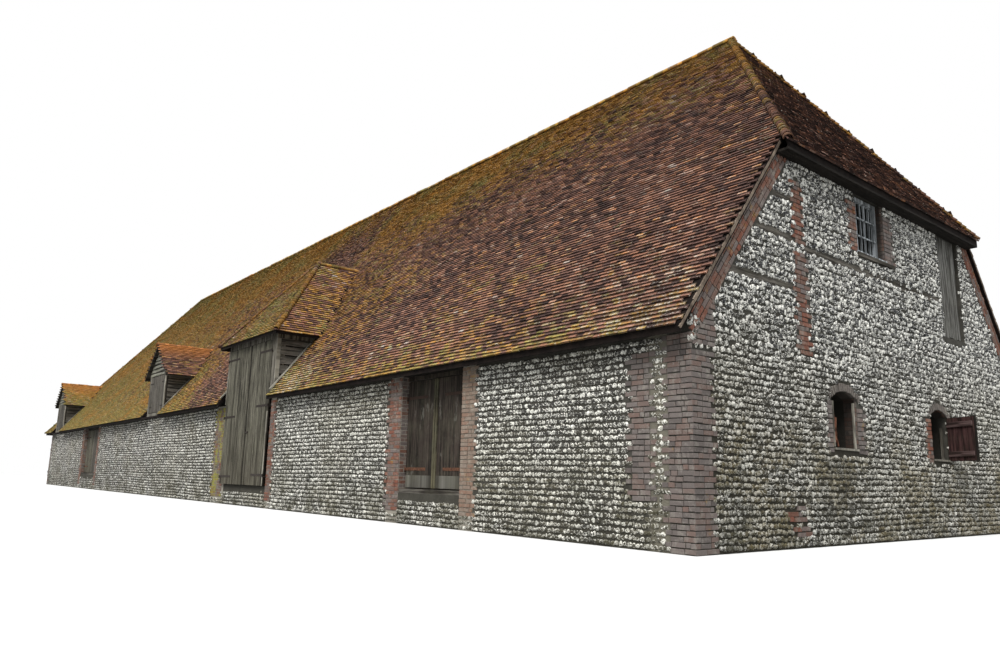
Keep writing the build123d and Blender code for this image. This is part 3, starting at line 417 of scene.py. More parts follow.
def flint_finish(name):
    """Whole and broken nodules: black core, grey bloom and white rind, tinged with lichen low down."""
    flint = settings("flint")
    f = Finish(name, 0.6, 0.3)
    height = f.axis("Z")
    gable = f.on_gable()
    blotch = f.noise(50, detail=5, roughness=0.74, distortion=0.9)
    fine = f.noise(112, detail=4, roughness=0.78)
    shade = f.plus(f.times(f.attribute("tone"), 0.68), f.span(blotch, 0.43, 0.57, -0.34, 0.50),
                   f.span(fine, 0.42, 0.58, -0.20, 0.34))
    rim = f.plus(f.reach(f.coords["UV"]), f.span(blotch, 0.3, 0.7, -0.16, 0.16))
    broken = f.times(f.span(rim, 0.36, 0.25), f.span(f.attribute("wear"), 0.40, 0.55, 0.0, 0.56))
    stone = f.ramp(f.maths("SUBTRACT", shade, broken), (0.12, flint.core), (0.25, (0.070, 0.071, 0.073)),
                   (0.37, flint.grey), (0.48, (0.520, 0.512, 0.480)), (0.60, flint.rind))
    stone = f.speckled(0.5, stone, fine, (0.34, 0.35), (0.60, 1.2))
    aloft = f.times(gable, f.span(height, 1.0, 1.9, 0.0, 0.9))
    warm = f.times(f.span(f.noise(1.3, detail=4), 0.42, 0.66, 0.12, 0.50), f.maths("SUBTRACT", 1.0, aloft))
    stone = f.mix(warm, stone, f.mix(0.6, stone, (0.26, 0.225, 0.125)))
    moss = f.times(f.span(height, 0.85, 0.0, 0.0, 0.75), f.patches(3.2, 0.44, 0.58, detail=6))
    stone = f.mix(moss, stone, (0.062, 0.057, 0.030))
    stone = f.mix(gable_damp(f, 0.12), stone, (0.040, 0.037, 0.028))
    olive = f.times(f.patches(2.2, 0.46, 0.57, 0.0, 0.7, detail=6), gable, f.span(height, 1.15, 0.6))
    stone = f.mix(olive, stone, f.mix(0.65, stone, (0.150, 0.115, 0.040)))
    # Lighter towards the near end of the long walls.
    lighter_near_end = f.times(f.span(f.axis("X"), -4.0, 1.0), f.maths("SUBTRACT", 1.0, gable))
    stone = f.mix(lighter_near_end, stone, (1.13, 1.13, 1.12), "MULTIPLY")
    return f.done(stone, f.plus(blotch, f.times(fine, 0.4)), 0.7, 0.008)


def mortar_tint(f):
    # The mortar colour is partly lime and partly painted shade for the gaps between the flints.
    flint = settings("flint")
    dirt = f.patches(5.5, 0.38, 0.66, detail=6, roughness=0.7)
    grit = f.noise(150, detail=3, roughness=0.7)
    tint = f.mix(dirt, f.mix(0.6, flint.mortar, (0.030, 0.028, 0.024)), flint.mortar)
    tint = f.mix(f.span(f.axis("Z"), 0.6, 0.0, 0.0, 0.6), tint, f.mix(0.5, tint, (0.050, 0.045, 0.026)))
    return f.speckled(0.6, tint, grit, (0.3, 0.5), (0.7, 1.0)), grit


def mortar_finish(name):
    """Lime mortar between the flints, paler by the near corner, and near-black as painted shade inside the walls
    and in the reveals.
    """
    f = Finish(name, 0.95)
    x = f.axis("X")
    y = f.axis("Y")
    tint, grit = mortar_tint(f)
    # Painted shade: faces more than 0.1 m behind the near gable's face and 0.15 m inside the long walls' faces
    # turn near-black.
    inside = f.times(f.span(x, GABLE - 0.02, GABLE - 0.10),
                     f.span(f.away(y, 0.0), REAR - 0.05, REAR - 0.15), 0.8)
    by_corner = f.times(f.span(f.away(x, from_gable(CORNER_PATCH)), 0.12, 0.06),
                        f.maths("LESS_THAN", y, FRONT + FACE_DEPTH), 0.5)
    tint = f.mix(by_corner, tint, (0.260, 0.238, 0.185))
    tint = f.mix(inside, tint, (0.020, 0.018, 0.015))
    tint = f.mix(gable_damp(f, 0.60), tint, (0.034, 0.030, 0.021))
    return f.done(tint, f.plus(grit, f.noise(38, detail=4)), 0.7, 0.006)


def brick_tint(f, shade, bloom=0.55):
    brick = settings("brick")
    tint = f.ramp(shade, (0.0, (0.055, 0.040, 0.037)), (0.28, brick.dull), (0.55, (0.185, 0.100, 0.074)),
                  (0.78, brick.red), (1.0, brick.pale))
    grit = f.noise(85, detail=4, roughness=0.75)
    tint = f.speckled(0.6, tint, grit, (0.3, 0.40), (0.7, 1.05))
    return f.mix(f.patches(16, 0.50, 0.66, 0.0, bloom), tint, (0.310, 0.280, 0.240)), grit


def brick_finish(name, redness, spread, orange, bloom, lichen_tint=LICHEN, wash=None):
    """Hand-made bricks with their own tones, a grey bloom and some orange lichen."""
    f = Finish(name, 0.9)
    tint, grit = brick_tint(f, f.plus(f.times(f.attribute("tone"), spread), redness), bloom)
    if wash is not None:
        tint = f.mix(0.48, tint, wash)
    lichen = f.patches(6.0, 0.64 - orange, 0.74 - orange, 0.0, 0.75)
    return f.done(f.mix(lichen, tint, lichen_tint), grit, 0.7, 0.004)


def brickwork_finish(name):
    """Brick courses for the reveals and backs, and mortar on the outer faces that carry the modelled bricks."""
    f = Finish(name, 0.92)
    brick = settings("brick")
    x = f.axis("X")
    y = f.axis("Y")
    off_centre = f.away(y, 0.0)
    wall = f.add("ShaderNodeCombineXYZ", {"X": f.plus(x, y), "Y": f.axis("Z")}).outputs["Vector"]
    bond = f.add("ShaderNodeTexBrick", {"Vector": wall, "Scale": 1.0, "Mortar Size": brick.joint / 2,
                                        "Mortar Smooth": 0.3, "Brick Width": brick.stretcher,
                                        "Row Height": brick.course, "Color1": (0, 0, 0), "Color2": (1, 1, 1),
                                        "Mortar": (0.5, 0.5, 0.5)}, offset=0.5).outputs
    tint, grit = brick_tint(f, f.plus(f.times(bond["Color"], 0.5), 0.14))
    pale = f.mix(f.span(x, GABLE - 0.5, GABLE - 1.5, 0.0, 0.80), mortar_tint(f)[0], (0.360, 0.330, 0.280))
    outer = f.most(f.maths("GREATER_THAN", off_centre, REAR - OUTER_SKIN),
                   f.maths("GREATER_THAN", x, GABLE - OUTER_SKIN), f.maths("LESS_THAN", x, FAR_END + OUTER_SKIN))
    shaded = f.times(f.span(x, GABLE - 0.004, GABLE - 0.03, 0.0, 0.8), f.maths("LESS_THAN", off_centre, 1.6))
    tint = f.mix(shaded, tint, (0.026, 0.023, 0.020))
    pale = f.mix(shaded, pale, (0.030, 0.027, 0.024))
    joint = f.most(bond["Fac"], outer)
    return f.done(f.mix(joint, tint, pale), f.maths("SUBTRACT", grit, f.times(joint, 1.5)), 0.6, 0.005)


def wood_finish(name, tint, pale, green=0.0, grain="UV", stain=0.0, peel=0.0):
    """Bare weathered boards: grain along the board, pale raised streaks, stains, algae and peeled patches."""
    f = Finish(name, 0.86)
    if isinstance(tint, str):
        tint = getattr(settings("board"), tint)
    laid = grain == "UV"
    stretch = (1, GRAIN, 1) if laid else [GRAIN if axis in grain else 1 for axis in "XYZ"]
    point = f.scaled("UV" if laid else "Object", stretch)
    fibre = f.noise(190, point, detail=5, roughness=0.7, distortion=0.3)
    streak = f.noise(34, point, detail=4, roughness=0.6)
    blotch = f.noise(3.0, detail=5, roughness=0.65)
    tone = f.attribute("tone") if laid else f.noise(6, point)
    body = f.mix(f.span(streak, 0.43, 0.57), f.mix(0.6, tint, DARK_GRAIN_AND_GAP_SHADE), pale)
    body = f.mix(f.span(tone, 0.0, 0.5, 0.6, 0.0), body, f.mix(0.55, tint, DARK_GRAIN_AND_GAP_SHADE))
    body = f.mix(f.span(tone, 0.5, 1.0, 0.0, 0.5), body, pale)
    body = f.speckled(0.75, body, fibre, (0.34, 0.25), (0.60, 1.1))
    body = f.mix(f.span(blotch, 0.5, 0.75, 0.0, 0.6), body, f.mix(0.6, body, (0.018, 0.015, 0.012)))
    if stain:
        foot = f.span(f.axis("Z"), 1.25, 0.30, 0.0, stain)
        body = f.mix(f.times(foot, blotch), body, (0.060, 0.047, 0.032))
    if peel:
        flakes = f.noise(9.0, f.scaled("Object", (1, 1, 0.35)), detail=5, roughness=0.75)
        body = f.mix(f.span(flakes, 0.60, 0.66, 0.0, peel), body, (0.150, 0.142, 0.122))
    if green:
        body = f.mix(f.patches(5.5, 0.46, 0.66, 0.0, green, roughness=0.7), body, settings("board").green)
    return f.done(body, fibre, 0.5, 0.003)


def iron_finish(name, tint=None, bright=(0.215, 0.100, 0.055)):
    """Rusted iron, with painted shade that darkens it above about a metre."""
    f = Finish(name, 0.8)
    rust = f.noise(60, detail=5, roughness=0.7)
    body = settings("board").rust if tint is None else tint
    tint = f.ramp(rust, (0.30, (0.030, 0.020, 0.016)), (0.52, body), (0.74, bright))
    # Painted shade: the iron darkens towards near-black above 0.9 to 1.1 m, as the shade under the eaves.
    tint = f.mix(f.span(f.axis("Z"), 0.9, 1.1, 0.0, 0.75), tint, (0.030, 0.024, 0.021))
    f.shader.inputs["Metallic"].default_value = 0.15
    return f.done(tint, rust, 0.7, 0.003)


def verge_finish(name):
    """Tan mortar, patchy and gritty."""
    f = Finish(name, 0.95)
    grit = f.noise(70, detail=4, roughness=0.7)
    patches = f.noise(9, detail=5, roughness=0.7)
    tint = f.ramp(patches, (0.35, (0.085, 0.062, 0.048)), (0.62, (0.270, 0.215, 0.165)))
    return f.done(f.speckled(0.5, tint, grit, (0.35, 0.4), (0.65, 1.1)), grit, 0.6)


# Painted shade: the leaves and cheeks behind the boards are near-black, as the shade in the gaps between boards
# and laps.
GAP_SHADE_BACKING = (DARK_GRAIN_AND_GAP_SHADE, (0.030, 0.026, 0.021), 0.0, "Z")
BEAM = ((0.060, 0.050, 0.040), (0.130, 0.112, 0.090), 0.0)
FINISH_TABLES = (
    (tile_finish, {
        "tiles": ("clay_tiles", 0.02),
        "dark_tiles": ("dark_clay_tiles", -0.10),
        "mossy_tiles": ("mossy_clay_tiles", 0.13, 0.0, 0.12),
        "ridge": ("ridge_clay", 0.16),
        "orange_tiles": ("orange_clay_tiles", -0.12, 0.85),
        "bonnets": ("bonnet_clay", 0.12),
    }),
    (brick_finish, {
        "dull_brick": ("dull_bricks", 0.0, 0.62, 0.0, 0.9, LICHEN, (0.175, 0.156, 0.146)),
        "red_brick": ("red_bricks", 0.20, 0.66, 0.03, 0.6),
        "tan_brick": ("tan_bricks", 0.26, 0.50, 0.03, 1.0, LICHEN, (0.290, 0.225, 0.168)),
        "mossy_brick": ("mossy_bricks", 0.10, 0.60, 0.17, 0.6, (0.300, 0.290, 0.050)),
        "arch_stone": ("arch_stones", 0.02, 0.50, 0.0, 0.7, LICHEN, (0.150, 0.140, 0.122)),
    }),
    (wood_finish, {
        "grey_boards": ("silver_grey_boards", "grey", (0.180, 0.168, 0.130), 0.15, "UV", 0.5),
        "pale_boards": ("pale_hatch_boards", (0.140, 0.135, 0.120), (0.290, 0.285, 0.265), 0.1),
        "dark_boards": ("dark_door_boards", "dark", (0.066, 0.051, 0.042), 0.15, "UV", 0.0, 0.55),
        "weatherboard": ("weatherboards", "black", (0.158, 0.142, 0.122), 0.15),
        "green_boards": ("green_grey_boards", (0.120, 0.116, 0.094), (0.300, 0.292, 0.245), 0.5, "UV", 0.5),
        "kick_boards": ("grey_kick_boards", (0.050, 0.047, 0.040), (0.265, 0.258, 0.228), 0.25, "UV", 0.5),
        "olive_boards": ("olive_boards", (0.070, 0.062, 0.036), (0.135, 0.120, 0.074), 0.5),
        "pale_timber": ("pale_timber", (0.215, 0.195, 0.160), (0.380, 0.355, 0.300), 0.2),
        "maroon": ("maroon_boards", (0.052, 0.024, 0.024), (0.098, 0.049, 0.047), 0.1),
        "ledge_boards": ("ledge_boards", (0.080, 0.045, 0.043), (0.150, 0.098, 0.094), 0.1),
        "red_splinter": ("broken_red_board", (0.240, 0.075, 0.045), (0.400, 0.180, 0.110)),
        "grey_leaf": ("shaded_leaf", *GAP_SHADE_BACKING),
        "shade_backing_leaf": ("weathered_backing", *GAP_SHADE_BACKING),
        # Painted shade: the middle door leaves behind the boards are near-black, as the shade in the gaps.
        "dark_leaf": ("dark_door_leaf", (0.008, 0.006, 0.005), (0.018, 0.014, 0.012), 0.0, "Z"),
        "window_timber": ("window_timber", (0.380, 0.410, 0.430), (0.620, 0.660, 0.690), 0.0, "Z"),
        "bedded_timber": ("bedded_timber", (0.070, 0.060, 0.050), (0.160, 0.145, 0.125), 0.2, "XY"),
        "post_timber": ("post_timber", (0.115, 0.100, 0.080), (0.230, 0.212, 0.178), 0.15, "Z"),
        "beam_timber": ("beam_timber", *BEAM, "X"),
        "tie_timber": ("tie_timber", *BEAM, "Y"),
        # Painted shade: wall plates and the half-hip board are near-black, partly dark old timber and partly the
        # shade under the eaves.
        "dark_timber": ("dark_timber", (0.008, 0.007, 0.006), (0.024, 0.020, 0.017), 0.0, "Y"),
        "soffit": ("soffit_boards", (0.034, 0.030, 0.025), (0.074, 0.067, 0.057), 0.0, "Y"),
    }),
    (iron_finish, {
        "iron": ("rusted_iron",),
        "dark_iron": ("dark_iron", (0.050, 0.044, 0.040), (0.110, 0.075, 0.055)),
    }),
    (bedding_finish, {"bedding": ("tile_bedding",)}),
    (flint_finish, {"flint": ("flint_nodules",)}),
    (mortar_finish, {"mortar": ("lime_mortar",)}),
    (brickwork_finish, {"brickwork": ("brick_reveals",)}),
    (verge_finish, {"verge_mortar": ("verge_mortar",)}),
)


@cache
def finish(name):
    """The material of this name, made at its first use."""
    maker, rows = next((maker, rows) for maker, rows in FINISH_TABLES if name in rows)
    return maker(*rows[name])


# Modelling by hand

def start_cube(size, place=(0, 0, 0)):
    """A new block of this size, alone in the selection."""
    bpy.ops.object.select_all(action="DESELECT")
    bpy.ops.mesh.primitive_cube_add(size=1, location=place)
    block = bpy.context.object
    block.scale = size
    bpy.ops.object.transform_apply(location=True, rotation=True, scale=True)
    return block


def pick(obj, kind, test):
    """Selects the vertices, edges or faces that pass the test, and nothing else."""
    bpy.ops.object.mode_set(mode="EDIT")
    bpy.ops.mesh.select_mode(type=kind)
    bpy.ops.mesh.select_all(action="DESELECT")
    bpy.ops.object.mode_set(mode="OBJECT")
    mesh = obj.data
    if kind == "VERT":
        for vertex in mesh.vertices:
            vertex.select = test(vertex.co)
    elif kind == "EDGE":
        for edge in mesh.edges:
            a, b = (mesh.vertices[i].co for i in edge.vertices)
            edge.select = test(a, b)
    else:
        for face in mesh.polygons:
            face.select = test(face)
    bpy.ops.object.mode_set(mode="EDIT")


def open_back(obj):
    """Takes off the face on which a thing is bedded."""
    pick(obj, "FACE", lambda face: face.normal.z < -0.5)
    bpy.ops.mesh.delete(type="FACE")
    bpy.ops.object.mode_set(mode="OBJECT")


def ease_edges(obj, width, test):
    pick(obj, "EDGE", test)
    bpy.ops.mesh.bevel(offset=width, segments=1)
    bpy.ops.object.mode_set(mode="OBJECT")


class Pattern:
    """A small thing modelled once: its points and faces, taken from the finished object."""

    def __init__(self, obj):
        mesh = obj.data
        self.points = np.array([v.co for v in mesh.vertices])
        self.loops = np.array([i for face in mesh.polygons for i in face.vertices])
        self.totals = np.array([len(face.vertices) for face in mesh.polygons])
        bpy.data.objects.remove(obj)
        bpy.data.meshes.remove(mesh)


def tile_pattern():
    """Peg tile: a wedge whose raised lower edge shows, without the underside that lies on the next course."""
    tile = start_cube((1, 1.1, 1), (0, 0.55, 0.5))
    pick(tile, "VERT", lambda co: co.y > 1 and co.z < 0.5)
    bpy.ops.transform.translate(value=(0, 0, 0.12))
    pick(tile, "VERT", lambda co: co.y > 1 and co.z > 0.5)
    bpy.ops.transform.translate(value=(0, 0, -0.88))
    pick(tile, "VERT", lambda co: True)
    bpy.ops.mesh.remove_doubles(threshold=0.001)
    open_back(tile)
    return Pattern(tile)


def flint_patterns(count, sides):
    """Half-buried nodules: knapped lumps with a low crown, each knocked about in its own way."""
    patterns = []
    for seed in range(count):
        bpy.ops.object.select_all(action="DESELECT")
        bpy.ops.mesh.primitive_cylinder_add(vertices=sides, radius=0.5, depth=0.8, end_fill_type="TRIFAN")
        nodule = bpy.context.object
        open_back(nodule)
        pick(nodule, "VERT", lambda co: co.z > 0.1 and math.hypot(co.x, co.y) > 0.1)
        bpy.ops.transform.resize(value=(0.68, 0.68, 1))
        bpy.ops.transform.translate(value=(0, 0, -0.12))
        bpy.ops.mesh.select_all(action="SELECT")
        bpy.ops.transform.vertex_random(offset=0.13, seed=seed + 1)
        bpy.ops.object.mode_set(mode="OBJECT")
        patterns.append(Pattern(nodule))
    return patterns


def brick_pattern(eased):
    """Brick face with its rims, open at the back where it is bedded; one unit each way."""
    brick = start_cube((1, 1, 1))
    if eased:
        ease_edges(brick, 0.07, lambda a, b: a.z > 0.4 and b.z > 0.4)
    open_back(brick)
    return Pattern(brick)


def plank_pattern():
    """Closed board with its front arrises eased, one unit each way."""
    plank = start_cube((1, 1, 1))
    ease_edges(plank, 0.06, lambda a, b: a.z > 0.4 and b.z > 0.4 and abs(a.x - b.x) < 0.1)
    return Pattern(plank)


def half_round_pattern(taper):
    """Half-round tile lying along Y, thick-edged and narrower at its upper end."""
    bpy.ops.object.select_all(action="DESELECT")
    bpy.ops.mesh.primitive_cylinder_add(vertices=16, radius=1, depth=1, end_fill_type="NOTHING",
                                        rotation=(math.pi / 2, 0, 0))
    tile = bpy.context.object
    bpy.ops.object.transform_apply(location=True, rotation=True, scale=True)
    bpy.ops.object.mode_set(mode="EDIT")
    bpy.ops.mesh.select_all(action="SELECT")
    bpy.ops.mesh.bisect(plane_co=(0, 0, 0), plane_no=(0, 0, 1), clear_inner=True)
    pick(tile, "VERT", lambda co: co.y > 0)
    bpy.ops.transform.resize(value=(taper, 1, taper))
    bpy.ops.mesh.select_all(action="SELECT")
    bpy.ops.mesh.normals_make_consistent(inside=False)
    bpy.ops.object.mode_set(mode="OBJECT")
    thick = tile.modifiers.new("Thickness", "SOLIDIFY")
    thick.thickness = 0.2
    thick.offset = -1
    bpy.ops.object.modifier_apply(modifier=thick.name)
    return Pattern(tile)


PATTERN_MAKERS = {
    "tile": (tile_pattern,),
    "half_round": (half_round_pattern, 0.82),
    "ridge": (half_round_pattern, 0.97),
    "brick": (brick_pattern, True),
    "plain_brick": (brick_pattern, False),
    "plank": (plank_pattern,),
    "flints": (flint_patterns, 9, 7),
    "plain_flints": (flint_patterns, 5, 5),
}


@cache
def pattern(name):
    """The pattern of this name, or list of patterns, modelled at its first use."""
    maker, *values = PATTERN_MAKERS[name]
    return maker(*values)


class Pile:
    """Copies of patterns, each with its own place and tone, gathered into one mesh."""

    def __init__(self, name, finish_name, slot, body="barn"):
        self.name = name
        self.finish_name = finish_name
        self.slot = slot
        self.body = body
        self.parts = []
        self.count = 0

    def add(self, shape, sizes, axes, places, tone, wear=0.5, uv_scale=(1, 1), uv_shift=0.0):
        """One copy for each row: sizes, axes as columns of a 3 by 3 matrix, and places."""
        number = len(places)
        if number == 0:
            return
        local = shape.points[None] * np.asarray(sizes, float).reshape(-1, 1, 3)
        axes = np.broadcast_to(axes, (number, 3, 3))
        points = np.einsum("nij,nkj->nki", axes, local) + np.asarray(places, float)[:, None]
        per = len(shape.points)
        loops = (shape.loops[None] + np.arange(number)[:, None] * per + self.count).ravel()
        flat = local[:, :, :2] * np.asarray(uv_scale)
        uv = (flat[:, shape.loops] + np.asarray(uv_shift, float).reshape(-1, 1, 1)).reshape(-1, 2)
        tone, wear = (np.repeat(np.broadcast_to(value, number), per) for value in (tone, wear))
        self.parts.append((points.reshape(-1, 3), loops, np.tile(shape.totals, number), uv, tone, wear))
        self.count += number * per

    def build(self, smooth=False):
        points, loops, totals, uv, tone, wear = (np.concatenate(column) for column in zip(*self.parts))
        mesh = bpy.data.meshes.new(self.name)
        mesh.vertices.add(len(points))
        mesh.vertices.foreach_set("co", points.ravel().astype(np.float32))
        mesh.loops.add(len(loops))
        mesh.loops.foreach_set("vertex_index", loops.astype(np.int32))
        mesh.polygons.add(len(totals))
        starts = np.concatenate([[0], np.cumsum(totals)[:-1]])
        mesh.polygons.foreach_set("loop_start", starts.astype(np.int32))
        mesh.polygons.foreach_set("use_smooth", np.full(len(totals), smooth))
        mesh.update(calc_edges=True)
        layer = mesh.uv_layers.new(name="UVMap")
        layer.data.foreach_set("uv", uv.ravel().astype(np.float32))
        for name, values in (("tone", tone), ("wear", wear)):
            mesh.attributes.new(name, "FLOAT", "POINT").data.foreach_set("value", values.astype(np.float32))
        mesh.materials.append(finish(self.finish_name))
        obj = bpy.data.objects.new(self.name, mesh)
        bpy.context.scene.collection.objects.link(obj)
        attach(obj, self.body)
        return obj


def axes_of(along, up):
    """Columns: along, up, and outwards."""
    return np.stack([along, up, np.cross(along, up)], axis=1)


def columns(*values):
    """One row for each copy; a value is a column or a number that all rows share."""
    return np.stack(np.broadcast_arrays(*values), 1)


def spread(values, direction):
    """One vector for each value, in a shared direction."""
    return values[:, None] * np.asarray(direction)


def turned(axes, about_out, lift):
    """One set of axes for each copy, turned about the outward axis and tipped so that the lower edge lifts."""
    along, up, out = axes.T
    c = np.cos(about_out)[:, None]
    s = np.sin(about_out)[:, None]
    t = np.broadcast_to(lift, len(about_out))[:, None]
    a = c * along + s * up
    u = c * up - s * along
    return np.stack([a, u - t * out, out + t * u], axis=2)


def up_slope(slope, along):
    """Unit direction up a slope, for a direction along its eaves with the slope on the left."""
    return np.array((-along[1], along[0], slope)) / math.hypot(1, slope)


# Roof tiles

TILE_CLEARANCE = 0.045
UNDER_RIDGE = 0.02
UNDER_EAVES = 0.02


def lay_tiles(pile, foot, along, slope, span, crown_z, keep, seed, coarse=1.0, tone=0.0):
    """Courses of tiles up a slope from its eaves line, half-bonded; keep judges the place of each tile."""
    roof = settings("roof")
    rng = random(seed)
    rise = (crown_z - foot[2]) * math.hypot(1, slope) / slope
    width = roof.width * coarse
    gauge = roof.gauge * coarse
    axes = axes_of(along, up_slope(slope, along))
    a, u, out = axes.T
    grid = np.meshgrid(np.arange(int((rise + roof.overhang) / gauge) + 1),
                       np.arange(int((span[1] - span[0]) / width) + 2), indexing="ij")
    course, column = (indices.ravel() for indices in grid)
    number = len(course)
    across = span[0] + (column + 0.5 * (course % 2)) * width + rng.normal(0, 0.0025, number)
    wave = 0.0045 * np.sin(1.7 * across + 0.05 * course) + 0.0025 * np.sin(4.3 * across + 0.3 * course)
    above = course * gauge - roof.overhang + wave * (course > 0) + rng.normal(0, 0.0018, number)
    flat = np.asarray(foot) + spread(across, a) + spread(above, u)
    kept = keep(flat) & (above < rise)
    settle = 0.5 + 0.25 * np.sin(0.62 * across + seed) + 0.25 * np.sin(1.25 * above + 0.8 * np.sin(0.9 * across))
    places = (flat + spread(roof.sag * settle + rng.uniform(0.0, 0.002, number), out))[kept]
    number = len(places)
    sizes = columns(width * rng.uniform(0.955, 0.985, number), gauge,
                    roof.thickness * rng.uniform(0.8, 1.2, number))
    tones = np.clip(rng.beta(1.4, 1.8, number) + tone, 0, 1)
    pile.add(pattern("tile"), sizes, turned(axes, rng.normal(0, 0.014, number), rng.normal(0, 0.02, number)),
             places, tones, rng.random(number), uv_scale=(1 / roof.width, 1 / roof.gauge))
    return pile


def lay_pair(pile, middle, half, foot_z, crown_z, slope, front_y, keep, seeds, tones):
    """Tiles on the near and far side of a small roof whose ridge runs back from its front."""
    for side, span, seed, tone in zip((1, -1), ((front_y, 0), (0, -front_y)), seeds, tones):
        foot = (middle + side * half, 0, foot_z)
        lay_tiles(pile, foot, side * Y, slope, span, crown_z, keep, seed, tone=tone)


def on_long_slope(places):
    x, _, z = places.T
    half_hip = HALF_HIP_Z + HALF_HIP_SLOPE * (HALF_HIP_X - x)
    far_hip = EAVES_Z + FAR_HIP_SLOPE * (x - FAR_EAVES_X + 0.02)
    return (z < half_hip) & (z < far_hip) & (x < VERGE_X - 0.03) & (z < RIDGE_Z - UNDER_RIDGE)


def clear_of(x, y, z, middle, half, top, under, front, lap=0.0):
    """Not inside an annex nor in its roof; the slope runs on under its eaves."""
    aside = abs(x - middle)
    clear = (top < z) | ((aside > half + TILE_CLEARANCE) & (top - under - UNDER_EAVES > z))
    return clear & ((aside > half + lap + TILE_CLEARANCE) | (y > front))


def on_front_slope(places):
    """On the long slope, and clear of the midstrey and the dormers."""
    x, y, z = places.T
    clear = clear_of(x, y, z, MIDSTREY_X, MIDSTREY_HALF, midstrey_z(x, y), MIDSTREY_PLUMB, FRONT, 0.03)
    for middle in DORMERS:
        clear &= clear_of(x, y, z, middle, DORMER_HALF, dormer_z(x, y, middle), DORMER_PLUMB, FRONT + 0.3)
    return on_long_slope(places) & clear


def between_hips(places):
    return abs(places[:, 1]) < main_y(places[:, 2])


def on_midstrey_hip(places):
    x, _, z = places.T
    return (abs(x - MIDSTREY_X) < (MIDSTREY_RIDGE_Z - z) / SLOPE) & (z < MIDSTREY_RIDGE_Z - UNDER_RIDGE)


def on_midstrey_side(places):
    _, y, z = places.T
    hip = MIDSTREY_EAVES_Z + SLOPE * (y - MIDSTREY_FRONT)
    return (z < hip) & (z > main_z(y)) & (z < MIDSTREY_RIDGE_Z - UNDER_RIDGE)


def on_dormer(places):
    _, y, z = places.T
    return (z > main_z(y)) & (z < DORMER_RIDGE_Z - UNDER_RIDGE) & (y > DORMER_VERGE)


class BARN_OT_tiles(bpy.types.Operator):
    """Clay peg tiles in courses on the long slopes, the half hip and the far hip"""
    bl_idname = "barn.tiles"
    bl_label = "Main roof tiles"

    def execute(self, context):
        def tiled(name, foot, along, slope, span, keep, seed, finish_name="tiles", **more):
            pile = Pile(name, finish_name, "clay_tile")
            lay_tiles(pile, foot, along, slope, span, RIDGE_Z, keep, seed, **more).build()

        front = (0, -EAVES_Y, EAVES_Z)
        rear = (0, EAVES_Y, EAVES_Z)
        tiled("tiles_front_near", front, X, SLOPE, (MIDSTREY_X, VERGE_X), on_front_slope, 1)
        tiled("tiles_front_far", front, X, SLOPE, (FAR_EAVES_X, MIDSTREY_X - 0.04), on_front_slope, 2)
        tiled("tiles_rear_near", rear, -X, SLOPE, (-VERGE_X, 0), on_long_slope, 3, coarse=1.3)
        tiled("tiles_rear_far", rear, -X, SLOPE, (0, -FAR_EAVES_X), on_long_slope, 3, coarse=1.3)
        tiled("tiles_half_hip", (HALF_HIP_X, 0, HALF_HIP_Z), Y, HALF_HIP_SLOPE, (-HALF_HIP_Y, HALF_HIP_Y),
              between_hips, 4, "dark_tiles", tone=-0.1)
        tiled("tiles_far_hip", (FAR_EAVES_X, 0, EAVES_Z), -Y, FAR_HIP_SLOPE, (-EAVES_Y, EAVES_Y),
              between_hips, 5, coarse=1.1)
        return {"FINISHED"}


class BARN_OT_annex_tiles(bpy.types.Operator):
    """Tiles on the midstrey and the two dormers"""
    bl_idname = "barn.annex_tiles"
    bl_label = "Midstrey and dormer tiles"

    def execute(self, context):
        hip = Pile("tiles_midstrey_hip", "mossy_tiles", "clay_tile")
        lay_tiles(hip, (MIDSTREY_X, MIDSTREY_FRONT, MIDSTREY_EAVES_Z), X, SLOPE,
                  (-MIDSTREY_ROOF_HALF, MIDSTREY_ROOF_HALF), MIDSTREY_RIDGE_Z, on_midstrey_hip, 6).build()
        sides = Pile("tiles_midstrey", "tiles", "clay_tile")
        lay_pair(sides, MIDSTREY_X, MIDSTREY_ROOF_HALF, MIDSTREY_EAVES_Z, MIDSTREY_RIDGE_Z, SLOPE,
                 MIDSTREY_FRONT, on_midstrey_side, (7, 8), (0.12, 0.0))
        sides.build()
        dormers = Pile("tiles_dormers", "orange_tiles", "clay_tile")
        for seed, middle in enumerate(DORMERS):
            lay_pair(dormers, middle, DORMER_ROOF_HALF, DORMER_EAVES_Z, DORMER_RIDGE_Z, DORMER_SLOPE,
                     DORMER_VERGE, on_dormer, (9 + seed, 11 + seed), (0.1, 0.1))
        dormers.build()
        return {"FINISHED"}


def lay_half_rounds(pile, start, end, out, radius, pitch, seed, tip=0.10, tone=0.0, shape="half_round"):
    """Overlapping half-round tiles from the foot of a hip or along a ridge."""
    rng = random(seed)
    run = np.subtract(end, start)
    length = np.linalg.norm(run)
    run /= length
    out = out - np.dot(out, run) * run
    out /= np.linalg.norm(out)
    number = max(1, round(length / pitch))
    pitch = length / number
    places = start + spread((np.arange(number) + 0.5) * pitch, run) + rng.normal(0, 0.0015, (number, 3))
    sizes = columns(radius * rng.uniform(0.94, 1.05, number), 1.18 * pitch,
                    radius * rng.uniform(0.92, 1.06, number))
    axes = np.stack([np.cross(run, out), run, out], axis=1)
    pile.add(pattern(shape), sizes, turned(axes, rng.normal(0, 0.02, number), tip), places,
             np.clip(rng.beta(2, 2, number) + tone, 0, 1), rng.random(number))


